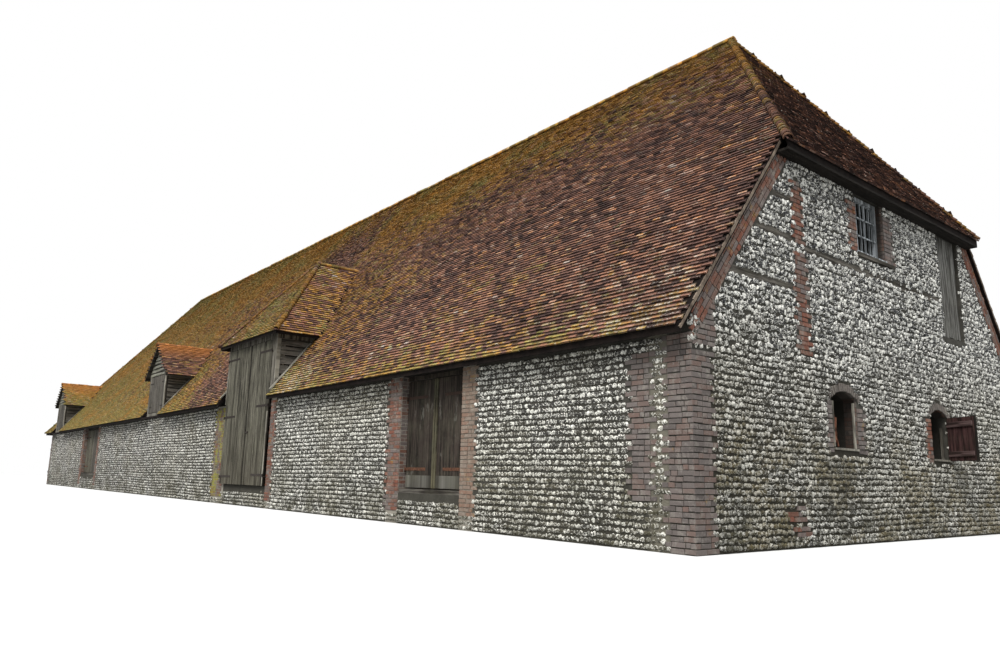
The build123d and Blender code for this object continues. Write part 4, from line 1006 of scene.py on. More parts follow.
class BARN_OT_ridges(bpy.types.Operator):
    """Ridge tiles on the main roof, midstrey and dormers, and bonnets down every hip"""
    bl_idname = "barn.ridges"
    bl_label = "Ridge tiles and bonnets"

    def execute(self, context):
        roof = settings("roof")

        def lay_ridge(pile, start, end, z, radius, seed, tone=0.0):
            lay_half_rounds(pile, (*start, z), (*end, z), Z, radius, roof.ridge_length, seed, 0.0, tone, "ridge")

        ridge = Pile("ridge_tiles_laid", "ridge", "clay_tile")
        lay_ridge(ridge, (RIDGE_FAR_X, 0), (RIDGE_NEAR_X + 0.03, 0), RIDGE_Z - 0.022, 0.064, 20)
        peak_y = MIDSTREY_FRONT + MIDSTREY_ROOF_HALF
        lay_ridge(ridge, (MIDSTREY_X, peak_y - 0.04), (MIDSTREY_X, 0.02 - main_y(MIDSTREY_RIDGE_Z)),
                  MIDSTREY_RIDGE_Z - 0.03, 0.055, 21)
        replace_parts(ridge.build(smooth=True), "ridge_tiles")
        dormer = Pile("dormer_ridge_tiles", "orange_tiles", "clay_tile")
        for middle in DORMERS:
            lay_ridge(dormer, (middle, DORMER_VERGE - 0.01), (middle, 0.02 - main_y(DORMER_RIDGE_Z)),
                      DORMER_RIDGE_Z - 0.03, 0.050, 22, 0.3)
        dormer.build(smooth=True)
        bonnets = Pile("hip_bonnets_laid", "bonnets", "clay_tile")
        near_peak = (RIDGE_NEAR_X, 0, RIDGE_Z)
        far_peak = (RIDGE_FAR_X, 0, RIDGE_Z)
        for side in SIDES:
            hips = (((HALF_HIP_X, side * HALF_HIP_Y, HALF_HIP_Z), near_peak, (1, side, 1.1), 0.044),
                    ((FAR_EAVES_X, side * EAVES_Y, EAVES_Z), far_peak, (-1, side, 1.1), 0.044),
                    ((MIDSTREY_X + side * MIDSTREY_ROOF_HALF, MIDSTREY_FRONT, MIDSTREY_EAVES_Z),
                     (MIDSTREY_X, peak_y, MIDSTREY_RIDGE_Z), (side, -1, 1.1), 0.042))
            for seed, (foot, peak, out, radius) in enumerate(hips):
                lay_half_rounds(bonnets, foot, peak, out, radius, roof.bonnet_gauge, 23 + seed)
        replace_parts(bonnets.build(smooth=True), "hip_bonnets")
        return {"FINISHED"}


class BARN_OT_verges(bpy.types.Operator):
    """Mortar fillet under the verge tiles, from the eaves to the half hip"""
    bl_idname = "barn.verges"
    bl_label = "Verge pointing"

    def execute(self, context):
        pile = Pile("verge_pointing", "verge_mortar", "clay_tile")
        reach = (EAVES_Y - HALF_HIP_Y) * math.hypot(1, SLOPE)
        for side in SIDES:
            rng = random(28 + side)
            up = up_slope(SLOPE, -side * X)
            marks = np.arange(0.04, reach, 0.12)
            number = len(marks)
            marks += rng.uniform(-0.02, 0.02, number)
            depths = 0.0125 + rng.normal(0, 0.0015, number)
            foot = np.array((VERGE_X - 0.001, side * EAVES_Y, EAVES_Z))
            places = foot + spread(marks, up) - spread(depths, np.cross(-side * X, up))
            sizes = columns(rng.uniform(0.020, 0.029, number), 0.135, rng.uniform(0.008, 0.014, number))
            axes = np.stack([np.cross(up, X), up, X], axis=1)
            pile.add(pattern("plank"), sizes, axes, places, rng.random(number), rng.random(number))
        pile.build()
        return {"FINISHED"}


# Brickwork on each face, as bands: start and end along the face, foot and head, teeth at both ends, and kind

FACES = {
    "front": (FRONT * Y, X, Z),
    "rear": (REAR * Y, -X, Z),
    "gable": (GABLE * X, Y, Z),
    "far_end": (FAR_END * X, -Y, Z),
}
TOOTH = 0.05
WRAP = 0.0075
QUOIN = 0.2
JAMB = 0.15
RAKE_BRICK = 0.15
LENGTH = GABLE - FAR_END
SHOULDER_Z = main_z(REAR) - ROOF_PLUMB
QUOIN_TOP = SHOULDER_Z - 0.25
SILL_FOOT = 0.03
FRONT_FOOT = 0.1
MIDDLE_DOOR = (2.375, 2.575, 3.625, 3.850)
FAR_DOOR = (17.125, 17.300, 18.800, 18.975)
REAR_DOOR = (6.785, 6.985, 8.535, 8.735)
NEAR_PIER = (6.835, 7.000)
TALL_LEAF_END = 8.655
FAR_PIER_END = 9.100
DOOR_BOARDS_Y = FRONT + 0.075
LOW_WINDOWS = ((1.835, 2.250, 0.755, 1.175, 0.060), (3.720, 4.100, 0.725, 1.150, 0.065))
UPPER_WINDOW = (2.465, 3.000, 2.535, 3.110)
HATCH = (4.250, 4.750, 2.000, 3.110)
BOND_TIMBERS = ((1.100, 1.400, 2.715), (0.850, 1.370, 2.390), (1.535, 4.165, 2.330), (0.425, 1.420, 1.975))


def front_bands():
    def band(near, far, foot, near_tooth, far_tooth, kind, head=WALL_TOP):
        return (from_gable(far), from_gable(near), foot, head, far_tooth, near_tooth, kind)

    return [band(-WRAP, QUOIN, 0, 0, TOOTH, "dull"),
            band(0.36, 0.525, 0.325, TOOTH, TOOTH, "dull", 1.375),
            band(*MIDDLE_DOOR[:2], 0.12, TOOTH, 0, "tan"),
            band(*MIDDLE_DOOR[2:], 0.12, 0, TOOTH, "red"),
            band(*NEAR_PIER, FRONT_FOOT, TOOTH, 0, "red"),
            band(TALL_LEAF_END, FAR_PIER_END, FRONT_FOOT, 0, TOOTH, "mossy"),
            band(*FAR_DOOR[:2], FRONT_FOOT, TOOTH, 0, "red"),
            band(*FAR_DOOR[2:], FRONT_FOOT, 0, TOOTH, "red"),
            band(LENGTH - QUOIN, LENGTH, 0, TOOTH, 0, "dull")]


def rear_bands():
    def band(near, far, near_tooth, far_tooth):
        return (-from_gable(near), -from_gable(far), 0, WALL_TOP, near_tooth, far_tooth, "rear")

    return [band(0, QUOIN, 0, TOOTH), band(*REAR_DOOR[:2], TOOTH, 0), band(*REAR_DOOR[2:], 0, TOOTH),
            band(LENGTH - QUOIN, LENGTH, TOOTH, 0)]


def gable_bands():
    def band(left, right, foot, head, kind="red", left_tooth=TOOTH, right_tooth=TOOTH):
        return (FRONT + left, FRONT + right, foot, head, left_tooth, right_tooth, kind)

    def corner_bands(edge, near_edge, foot, head):
        return [band(edge, near_edge, foot, head, "dull", 0),
                band(width - QUOIN, width - edge, foot, head, "dull", TOOTH, 0)]

    def rake_y(z):
        return main_y(z + ROOF_PLUMB + RAKE_BRICK * math.hypot(1, SLOPE))

    first, second = LOW_WINDOWS
    left, right, sill, head = UPPER_WINDOW
    width = REAR - FRONT
    course = settings("brick").course
    top = QUOIN_TOP
    corners = corner_bands(-WRAP, QUOIN, 0, top)
    while rake_y(top) > REAR - QUOIN - 0.05:
        edge = max(REAR - rake_y(top + course / 2), -WRAP)
        corners += corner_bands(edge, QUOIN + TOOTH * 0.5, top, top + course * 1.01)
        top += course
    return [*corners,
            band(1.39, 1.53, 1.475, 2.33),
            band(1.40, 1.50, 2.39, 2.95),
            band(1.22, 1.40, 0.08, 0.19),
            band(1.12, 1.30, 0.19, 0.27),
            band(1.22, 1.32, 0.27, 0.31),
            band(first[0] - 0.07, first[0], first[2] - SILL_FOOT, first[3], "dull", 0.03, 0),
            band(first[1], first[1] + JAMB - 0.05, first[2] - SILL_FOOT, first[3] - 0.04, "dull", 0),
            band(second[0] - JAMB + 0.04, second[0], second[2] - SILL_FOOT, second[3], right_tooth=0),
            band(left - JAMB + 0.03, left, sill, head - 0.09, right_tooth=0),
            band(right, right + JAMB, sill, head - 0.09, "dull", 0)]


def far_end_bands():
    return [(FRONT, FRONT + QUOIN, 0, WALL_TOP, 0, TOOTH, "rear"),
            (REAR - QUOIN, REAR, 0, WALL_TOP, TOOTH, 0, "rear")]


BANDS = {"front": front_bands, "rear": rear_bands, "gable": gable_bands, "far_end": far_end_bands}


def brick_rows(face):
    """Every course of a face: start and end with the teeth, height of the middle, kind and band number."""
    course = settings("brick").course
    for number, (start, end, foot, head, start_tooth, end_tooth, kind) in enumerate(BANDS[face]()):
        rng = random(100 + number)
        for row in range(int((head - foot) / course)):
            out_start = start_tooth * (row % 2) * rng.uniform(0.6, 1.3)
            out_end = end_tooth * ((row + 1) % 2) * rng.uniform(0.6, 1.3)
            yield start - out_start, end + out_end, foot + (row + 0.5) * course, kind, number


def lay_course(pile, face, start, end, middle, rng, shape="brick"):
    """One course of bricks between two ends, stretchers with a header here and there."""
    brick = settings("brick")
    origin, along, up = face
    edges = [start]
    while end - edges[-1] > 1.25 * brick.stretcher:
        part = 0.5 if rng.random() < 0.35 else 1.0
        edges.append(edges[-1] + brick.stretcher * part * rng.uniform(0.94, 1.05))
    if end - edges[-1] > 0.7 * brick.stretcher and rng.random() < 0.4:
        edges.append((edges[-1] + end) / 2)
    edges = np.array([*edges, end])
    centres = (edges[1:] + edges[:-1]) / 2
    number = len(centres)
    places = origin + spread(centres, along) + spread(middle + rng.normal(0, 0.0012, number), up)
    proud = brick.proud * rng.uniform(0.55, 1.25, number)
    tall = (brick.course - brick.joint) * rng.uniform(0.92, 1.04, number)
    turns = turned(axes_of(along, up), rng.normal(0, 0.012, number), rng.normal(0, 0.02, number))
    pile.add(pattern(shape), columns(np.diff(edges) - brick.joint, tall, 2 * proud), turns, places,
             rng.random(number), rng.random(number))


def lay_arch(pile, window, rng):
    """Rough stones on edge round the head of a low window."""
    left, right, _, springing, rise = window
    half = (right - left) / 2
    radius = (half ** 2 + rise ** 2) / (2 * rise)
    reach = math.asin(half / radius) + 0.06
    centre = np.array([GABLE, FRONT + (left + right) / 2, springing + rise - radius])
    number = int(2 * reach * radius / 0.031)
    angles = np.linspace(-reach, reach, number)
    up = columns(0.0, np.sin(angles), np.cos(angles))
    axes = np.stack([np.cross(up, X), up, np.broadcast_to(X, (number, 3))], axis=2)
    sizes = columns(rng.uniform(0.021, 0.028, number), rng.uniform(0.055, 0.072, number),
                    rng.uniform(0.016, 0.028, number))
    pile.add(pattern("brick"), sizes, axes, centre + (radius + 0.034) * up, rng.uniform(0.1, 0.6, number),
             rng.random(number))


class BARN_OT_bricks(bpy.types.Operator):
    """Toothed brick quoins and jambs, the rakes of the gable and the arches of its windows"""
    bl_idname = "barn.bricks"
    bl_label = "Brickwork"

    def execute(self, context):
        course = settings("brick").course
        piles = {kind: Pile("bricks_" + kind, finish_name, "brick") for kind, finish_name in (
            ("dull", "dull_brick"), ("red", "red_brick"), ("tan", "tan_brick"), ("mossy", "mossy_brick"),
            ("rear", "dull_brick"))}
        for name, face in FACES.items():
            draws = [random(200 + number) for number in range(len(BANDS[name]()))]
            for start, end, middle, kind, number in brick_rows(name):
                shape = "plain_brick" if kind == "rear" else "brick"
                lay_course(piles[kind], face, start, end, middle, draws[number], shape)
        run = math.hypot(1, SLOPE)
        length = (SOFFIT_Z - SHOULDER_Z) * run / SLOPE
        for side in SIDES:
            rng = random(260 + side)
            up_rake = up_slope(SLOPE, -side * X)
            corner = np.array((GABLE, FRONT if side < 0 else REAR, SHOULDER_Z))
            rake = (corner, -side * up_rake, np.cross(-side * X, up_rake))
            for row in range(round(RAKE_BRICK / course)):
                middle = -(row + 0.5) * course
                ends = (middle * SLOPE, length - middle / SLOPE)
                start, end = ends if side < 0 else (-ends[1], -ends[0])
                lay_course(piles["red"], rake, start, end, middle, rng)
        for pile in piles.values():
            pile.build()
        arches = Pile("window_arches", "arch_stone", "brick")
        for seed, window in enumerate(LOW_WINDOWS):
            lay_arch(arches, window, random(270 + seed))
        arches.build()
        return {"FINISHED"}


# Flints

BRICK_LAP = 0.004


def within(u, v, left, right, foot, head):
    return (u > left) & (u < right) & (v > foot) & (v < head)


def clear_of_bricks(u, v, face):
    clear = np.ones(len(u), bool)
    half = settings("brick").course / 2 + BRICK_LAP
    for start, end, middle, *_ in brick_rows(face):
        clear &= ~((u > start + BRICK_LAP) & (u < end - BRICK_LAP) & (abs(v - middle) < half))
    return clear


def front_clear(u, v):
    d = GABLE - u
    clear = clear_of_bricks(u, v, "front") & (d > QUOIN)
    openings = ((*MIDDLE_DOOR, 0.30), (*FAR_DOOR, 0.335), (*NEAR_PIER, TALL_LEAF_END, FAR_PIER_END, 0.285))
    for near_end, near_side, far_side, far_end, sill in openings:
        opening = (d > near_side) & (d < far_side)
        jambs = (d > near_end) & (d < far_end) & (v > 0.12) & ~opening
        clear &= ~(jambs | (opening & (v > sill - 0.075)))
    return clear


def rear_clear(u, v):
    d = GABLE + u
    near_end, near_side, far_side, far_end = REAR_DOOR
    inside = (d > near_end) & (d < far_end) & ((v > 0.26) | (d < near_side) | (d > far_side))
    return clear_of_bricks(u, v, "rear") & ~inside


def gable_clear(u, v):
    s = u - FRONT
    clear = clear_of_bricks(u, v, "gable")
    rake = (main_z(u) - ROOF_PLUMB - v) / math.hypot(1, SLOPE)
    clear &= (rake > RAKE_BRICK + 0.014) | (v < SHOULDER_Z - 0.06)
    for left, right, sill, springing, rise in LOW_WINDOWS:
        off_centre = (s - (left + right) / 2) / ((right - left) / 2)
        crown = springing + rise + 0.085 - 0.09 * off_centre ** 2
        clear &= ~within(s, v, left - 0.015, right + 0.015, sill - 0.045, crown)
    for left, right, foot, head in (UPPER_WINDOW, HATCH):
        clear &= ~within(s, v, left - 0.015, right + 0.015, foot - 0.05, head)
    for left, right, foot in BOND_TIMBERS:
        clear &= ~within(s, v, left - 0.01, right + 0.01, foot + 0.012, foot + 0.050)
    return clear


def far_end_clear(u, v):
    return clear_of_bricks(u, v, "far_end")


def lay_flints(name, face, start, end, foot, head, keep, seed, loose=0.08, tall=(0.88, 1.28), coarse=1.0,
               shapes="flints"):
    """Rows of nodules, side by side and bedded to half their depth."""
    flint = settings("flint")
    pile = Pile(name, "flint", "flint")
    rng = random(seed)
    origin, along, up = FACES[face]
    course = flint.course * coarse
    rows = []
    for row in range(int((head - foot) / course)):
        widths = rng.uniform(flint.narrow, flint.wide, int((end - start) / flint.narrow) + 1) * coarse
        middle = start + np.cumsum(widths) - widths * rng.random()
        rows.append(columns(middle, foot + (row + 0.5) * course, widths)[middle < end])
    u, v, width = np.concatenate(rows).T
    height = course * rng.uniform(*tall, len(v))
    v = v + rng.normal(0, loose * course, len(v)) + 0.006 * np.sin(1.9 * u + 3 * v)
    v = np.maximum(v, 0.6 * height)
    kept = keep(u, v)
    u, v, width, height = u[kept], v[kept], width[kept], height[kept]
    places = origin + spread(u, along) + spread(v, up)
    number = len(u)
    sizes = columns(width * rng.uniform(1.0, 1.35, number), height,
                    2 * flint.depth * rng.uniform(0.5, 1.2, number))
    turns = turned(axes_of(along, up), rng.normal(0, 0.28, number), rng.normal(0, 0.10, number))
    tones = rng.beta(1.0, 0.95, number)
    kind = rng.integers(0, len(pattern(shapes)), number)
    for index, shape in enumerate(pattern(shapes)):
        these = kind == index
        pile.add(shape, sizes[these], turns[these], places[these], tones[these], rng.random(these.sum()),
                 uv_scale=1 / sizes[these][:, None, :2])
    pile.build()


class BARN_OT_flints(bpy.types.Operator):
    """Coursed flints on the long walls and both ends, up to the brickwork and the openings"""
    bl_idname = "barn.flints"
    bl_label = "Flintwork"

    def execute(self, context):
        middle = 30 * settings("flint").course
        pier = from_gable(NEAR_PIER[0])
        plain = {"coarse": 1.4, "shapes": "plain_flints"}
        lay_flints("flints_gable_lower", "gable", FRONT, REAR, 0, middle, gable_clear, 30, 0.10, (0.82, 1.16))
        lay_flints("flints_gable_upper", "gable", FRONT, REAR, middle, SOFFIT_Z + 0.02, gable_clear, 35, 0.15)
        lay_flints("flints_front_near", "front", pier, GABLE, 0, WALL_TOP, front_clear, 31, 0.06, (0.78, 1.06))
        lay_flints("flints_front_far", "front", FAR_END, pier, 0, WALL_TOP, front_clear, 32, 0.05, (0.76, 0.98),
                   shapes="plain_flints")
        lay_flints("flints_rear", "rear", -GABLE, -FAR_END, 0, WALL_TOP, rear_clear, 33, **plain)
        lay_flints("flints_far_end", "far_end", FRONT, REAR, 0, WALL_TOP, far_end_clear, 34, **plain)
        return {"FINISHED"}


# Boards

LAP_PROUD = 0.018
MEETING_GAP = 0.016
LEAVES = ("near", "far")


def lay_boards(pile, corner, along, width, height, board, proud, seed, gap=0.004, ragged=0.0):
    """Upright boards side by side from a corner, as tall as the panel and proud of the face behind them."""
    rng = random(seed)
    number = max(1, round(width / board))
    shares = rng.uniform(0.82, 1.18, number)
    edges = np.concatenate([[0], np.cumsum(shares) * width / shares.sum()])
    tall = height - ragged * rng.random(number)
    places = np.asarray(corner) + spread((edges[1:] + edges[:-1]) / 2, along) + spread(height - tall / 2, Z)
    sizes = columns(np.diff(edges) - gap * rng.uniform(0.6, 1.5, number), tall,
                    2 * proud * rng.uniform(0.75, 1.1, number))
    pile.add(pattern("plank"), sizes, axes_of(along, Z), places, rng.uniform(0.05, 0.95, number),
             rng.random(number), uv_shift=rng.uniform(0, 9, number))
    return pile


def lay_laps(pile, corner, along, rows, seed, cover=0.86):
    """Lapped boards, their lower edges standing out: start, end, foot and head of each."""
    rng = random(seed)
    out = np.cross(Z, -along)
    for start, end, foot, head in rows:
        tall = cover * (head - foot)
        place = np.asarray(corner) + (start + end) / 2 * along + (foot + tall / 2) * Z + 0.5 * LAP_PROUD * out
        skew = rng.normal(0, 0.006)
        across = Z * math.cos(skew) + along * math.sin(skew)
        run = -along * math.cos(skew) + Z * math.sin(skew)
        tip = 0.55 * LAP_PROUD / tall
        tipped = np.stack([across - tip * out, run, out + tip * across], 1)
        pile.add(pattern("plank"), [(tall, end - start, 0.009)], tipped, [place], rng.uniform(0.1, 0.9),
                 rng.random(), uv_shift=rng.uniform(0, 9))


def lone_board(pile, low_corner, high_corner, grain, tone=0.5, seed=0):
    """One board between two corners, with its grain along X, Y or Z."""
    size = np.subtract(high_corner, low_corner)
    axes = np.stack({"X": (Y, X, -Z), "Y": (X, Y, Z), "Z": (X, Z, -Y)}[grain], 1)
    middle = np.add(low_corner, high_corner) / 2
    pile.add(pattern("plank"), [abs(axes.T @ size)], axes, [middle], tone, uv_shift=seed * 1.37)


def gable_board(pile, depths, ends, heights, grain, tone, seed):
    """Board in an opening of the gable: how far it stands out, and its ends from the front corner."""
    low_corner, high_corner = np.add((GABLE, FRONT, 0), np.transpose((depths, ends, heights)))
    lone_board(pile, low_corner, high_corner, grain, tone, seed)


def leaf_box(node):
    start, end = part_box(node)
    return start.x, end.x, start.z, end.z, start.y


class BARN_OT_tall_doors(bpy.types.Operator):
    """Silver-grey upright boards of the tall midstrey doors"""
    bl_idname = "barn.tall_doors"
    bl_label = "Tall doors"

    def execute(self, context):
        board = settings("board")
        for seed, side in enumerate(LEAVES):
            x0, x1, z0, z1, y = leaf_box(f"midstrey_{side}_leaf")
            pile = Pile(f"tall_boards_{side}", "grey_boards", "grey_door_boards", f"midstrey_{side}_door")
            start = x0 + MEETING_GAP * (side == "near")
            lay_boards(pile, (start, y, z0), X, x1 - x0 - MEETING_GAP, z1 - z0, board.width, board.thickness,
                       40 + seed).build()
        return {"FINISHED"}


class BARN_OT_low_doors(bpy.types.Operator):
    """Boards, kick boards and cover strips of the middle doorway, and the boards over both low doorways"""
    bl_idname = "barn.low_doors"
    bl_label = "Low doors"

    def execute(self, context):
        proud = settings("board").thickness
        width = 0.095
        for seed, side in enumerate(LEAVES):
            x0, x1, z0, z1, y = leaf_box(f"middle_door_{side}_leaf")

            def leaf_pile(name, finish_name):
                return Pile(f"middle_{name}_{side}", finish_name, "dark_door_boards", f"middle_{side}_door")

            lay_boards(leaf_pile("boards", "dark_boards"), (x0, y, z0), X, x1 - x0, z1 - z0, width, proud,
                       50 + seed).build()
            kick = leaf_pile("kick_board", "kick_boards")
            start, end = (x0 + 0.034, x1 - 0.012) if side == "near" else (x0 + 0.012, x1 - 0.034)
            lone_board(kick, (start, y - 0.011, z0 + 0.005), (end, y - 0.001, z0 + 0.125), "X", 0.6, 52 + seed)
            kick.build()
            strip = leaf_pile("cover_strip", "olive_boards")
            start, end = (x0, x0 + 0.032) if side == "near" else (x1 - 0.032, x1)
            lone_board(strip, (start, y - 0.013, z0 + 0.004), (end, y - 0.001, z1), "Z", 0.5, 55)
            strip.build()
        heads = Pile("door_head_boards", "dark_boards", "weathered_timber")
        foot = high("middle_door_near_leaf").z + 0.010
        margin = 0.004
        for seed, (_, near_side, far_side, _) in enumerate((MIDDLE_DOOR, FAR_DOOR)):
            lay_boards(heads, (from_gable(far_side) + margin, DOOR_BOARDS_Y, foot), X,
                       far_side - near_side - 2 * margin, WALL_TOP - foot - margin, width, proud, 58 + seed)
        heads.build()
        return {"FINISHED"}


def slope_laps(pile, face_x, side, front_y, foot, head, board, seed):
    """Lapped boards on a cheek, from its front edge back to the main slope; side is +1 for the near cheek."""
    rng = random(seed)
    rows = []
    z = foot
    while z < head - 0.03:
        tall = board * rng.uniform(0.8, 1.2)
        back = -main_y(z + tall / 2) - 0.01
        if back - front_y > 0.05:
            rows.append((*sorted((side * front_y, side * back)), z, min(z + tall, head)))
        z += tall
    lay_laps(pile, (face_x, 0, 0), side * Y, rows, seed)


def slope_strip(pile, x, start_y, end_y, width, seed):
    """Board that lies on the tiles of the main slope."""
    axes = axes_of(X, up_slope(SLOPE, X))
    middle = (start_y + end_y) / 2
    place = np.array((x, middle, main_z(middle))) + 0.024 * axes[:, 2]
    pile.add(pattern("plank"), [(width, (end_y - start_y) * math.hypot(1, SLOPE), 0.012)], axes, [place], 0.6,
             uv_shift=seed)


class BARN_OT_midstrey_boards(bpy.types.Operator):
    """Weatherboards, corner boards and ironwork of the midstrey"""
    bl_idname = "barn.midstrey_boards"
    bl_label = "Midstrey boards"

    def execute(self, context):
        front_y = low("midstrey_frame").y
        head = high("midstrey_cheeks").z
        foot = WALL_TOP + 0.005
        laps = Pile("cheek_weatherboards", "weatherboard", "weathered_timber")
        pale = Pile("midstrey_corner_boards", "pale_timber", "weathered_timber")
        for side in SIDES:
            face = MIDSTREY_X + side * MIDSTREY_HALF
            slope_laps(laps, face, side, front_y + 0.055, main_z(FRONT) - 0.02, head + 0.02, 0.118, 60 + side)
            lone_board(pale, (face - 0.012, front_y - 0.006, foot), (face + 0.012, front_y + 0.05, head), "Z",
                       0.7, 62)
            slope_strip(pale, face + side * 0.045, FRONT - 0.10, -main_y(head) - 0.03, 0.07, 3.0 + side)
        laps.build()
        pale.build()
        iron = {side: Pile(f"midstrey_ironwork_{side}", "dark_iron", "wrought_iron", f"midstrey_{side}_door")
                for side in LEAVES}
        x0, x1, z0, _, y = leaf_box("midstrey_near_leaf")
        lone_board(iron["near"], (x0 + 0.004, y - 0.016, 1.02), (x0 + 0.105, y - 0.004, 1.042), "X")
        lone_board(iron["near"], (x1 - 0.055, y - 0.013, z0 + 0.012), (x1 - 0.040, y - 0.004, z0 + 0.125), "Z")
        edge = Pile("near_leaf_edge_board", "pale_timber", "grey_door_boards", "midstrey_near_door")
        lone_board(edge, (x1 - 0.032, y - 0.0075, z0), (x1 - 0.001, y - 0.001, 1.30), "Z", 0.8)
        x0, x1, z0, _, y = leaf_box("midstrey_far_leaf")
        lone_board(iron["far"], (x0 + 0.040, y - 0.013, z0 + 0.012), (x0 + 0.055, y - 0.004, z0 + 0.115), "Z")
        for pile in (*iron.values(), edge):
            pile.build()
        return {"FINISHED"}


class BARN_OT_dormers(bpy.types.Operator):
    """Gablets, leaves, posts and cheeks of the two dormers"""
    bl_idname = "barn.dormers"
    bl_label = "Dormer fronts"

    def execute(self, context):
        laps = Pile("dormer_weatherboards", "green_boards", "weathered_timber")
        cheeks = Pile("dormer_cheek_boards", "weatherboard", "weathered_timber")
        leaves = Pile("dormer_leaves", "weatherboard", "weathered_timber")
        posts = Pile("dormer_posts", "pale_timber", "weathered_timber")
        iron = Pile("dormer_straps", "dark_iron", "wrought_iron")
        shoulder = DORMER_SHOULDER_Z
        y = DORMER_FRONT
        foot = WALL_TOP + 0.02
        tall = 0.078
        for seed, middle in enumerate(DORMERS):
            rows = []
            for z in np.arange(shoulder, DORMER_RIDGE_Z - 0.13, tall):
                half = min((DORMER_RIDGE_Z - DORMER_PLUMB - z - tall / 2) / DORMER_SLOPE, DORMER_HALF)
                rows.append((-half, half, z, z + tall))
            lay_laps(laps, (middle, y, 0), X, rows, 70 + seed, cover=0.74)
            for side in SIDES:
                corner = middle + (0.012 if side > 0 else -0.455)
                lay_boards(leaves, (corner, y, foot + 0.07), X, 0.443, shoulder - foot - 0.08, 0.088, 0.011,
                           72 + 2 * seed + side)
                edge = middle + side * 0.490
                lone_board(posts, (edge - 0.033, y - 0.014, foot), (edge + 0.033, y, shoulder), "Z",
                           0.4 + 0.4 * (side > 0), 5 + side)
                start, end = sorted((middle + side * 0.45, middle + side * 0.29))
                for z in (foot + 0.18, shoulder - 0.14):
                    lone_board(iron, (start, y - 0.016, z - 0.011), (end, y - 0.008, z + 0.011), "X")
                face = middle + side * DORMER_HALF
                slope_laps(cheeks, face, side, y + 0.03, main_z(FRONT), shoulder + 0.02, 0.085, 76 + seed)
                slope_strip(posts, face + side * 0.035, FRONT - 0.05, -main_y(shoulder) - 0.02, 0.05, 2.0 * side)
            lone_board(posts, (middle - 0.52, y - 0.018, foot), (middle + 0.52, y, foot + 0.055), "X", 0.3, 8)
        for pile in (laps, cheeks, leaves, posts, iron):
            pile.build()
        return {"FINISHED"}


class BARN_OT_gable_openings(bpy.types.Operator):
    """Hatch boards, the open shutter, and the broken boards and sills of the windows"""
    bl_idname = "barn.gable_openings"
    bl_label = "Gable openings"

    def execute(self, context):
        left, right, sill, head = HATCH
        hatch = Pile("hatch_boards", "pale_boards", "weathered_timber")
        lay_boards(hatch, (GABLE - 0.040, FRONT + left + 0.004, sill + 0.01), Y, right - left - 0.008,
                   head - sill - 0.012, 0.1, 0.012, 80, gap=0.006, ragged=0.03).build()
        left, right, sill, head = UPPER_WINDOW
        ledge = Pile("upper_window_sill", "window_timber", "weathered_timber")
        gable_board(ledge, (-0.06, 0.014), (left - 0.02, right + 0.02), (sill - 0.006, sill + 0.016),
                    "Y", 0.7, 6)
        start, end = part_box("upper_window")
        for share_up in (0.36, 0.66):
            z = start.z + share_up * (end.z - start.z)
            lone_board(ledge, (end.x - 0.012, start.y + 0.01, z - 0.006),
                       (end.x + 0.002, end.y - 0.01, z + 0.006), "Y", 0.7, 7)
        ledge.build()
        (left, right, sill, springing, _), (_, hinge_side, hinge_sill, hinge_springing, _) = LOW_WINDOWS
        swing = math.radians(65)
        outward = np.array((math.sin(swing), -math.cos(swing), 0.0))
        facing = np.cross(outward, Z)
        hinge = np.array((GABLE, FRONT + hinge_side - 0.0008, hinge_sill + 0.004))
        tall = hinge_springing - hinge_sill - 0.008
        shutter = Pile("shutter_boards", "maroon", "weathered_timber")
        lay_boards(shutter, hinge + 0.004 * outward, outward, 0.322, tall, 0.110, 0.007, 81, gap=0.005).build()
        ledges = Pile("shutter_ledges", "ledge_boards", "weathered_timber")
        for height in (0.065, tall - 0.065):
            place = hinge + 0.163 * outward + 0.012 * facing + height * Z
            ledges.add(pattern("plank"), [(0.052, 0.30, 0.014)], axes_of(Z, -outward), [place], 0.5)
        ledges.build()
        boards = Pile("window_boards", "pale_timber", "weathered_timber")
        gable_board(boards, (-0.030, -0.012), (right - 0.024, right - 0.008), (sill + 0.004, springing - 0.02),
                    "Z", 0.8, 1)
        gable_board(boards, (-0.006, 0.004), (left + 0.010, left + 0.026), (sill + 0.02, springing - 0.03),
                    "Z", 0.3, 2)
        for low_window in LOW_WINDOWS:
            gable_board(boards, (-0.10, 0.012), (low_window[0] + 0.01, low_window[1] - 0.01),
                        (low_window[2] - 0.006, low_window[2] + 0.012), "Y", 0.9, 3)
        gable_board(boards, (-0.060, -0.040), (hinge_side - 0.034, hinge_side - 0.012),
                    (hinge_sill + 0.014, hinge_springing - 0.10), "Z", 0.3, 4)
        boards.build()
        broken = Pile("broken_board", "red_splinter", "weathered_timber")
        for drop, lean, wide in ((0.0, 0.16, 0.020), (0.035, -0.12, 0.016), (0.10, 0.30, 0.012)):
            along = Y * math.cos(lean) + Z * math.sin(lean)
            place = (GABLE - 0.004, FRONT + left + 0.040 + 0.2 * drop, sill + 0.19 - drop)
            broken.add(pattern("plank"), [(wide, 0.24 - drop, 0.010)], axes_of(along, np.cross(X, along)),
                       [place], 0.5, uv_shift=drop)
        broken.build()
        return {"FINISHED"}


class BARN_OT_rear_doors(bpy.types.Operator):
    """Boards of the closed rear doors"""
    bl_idname = "barn.rear_doors"
    bl_label = "Rear doors"

    def execute(self, context):
        board = settings("board")
        start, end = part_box("rear_doors")
        pile = Pile("rear_door_boards", "grey_boards", "weathered_timber")
        lay_boards(pile, (end.x, end.y, start.z), -X, end.x - start.x, end.z - start.z - 0.004, board.width,
                   board.thickness, 90).build()
        return {"FINISHED"}


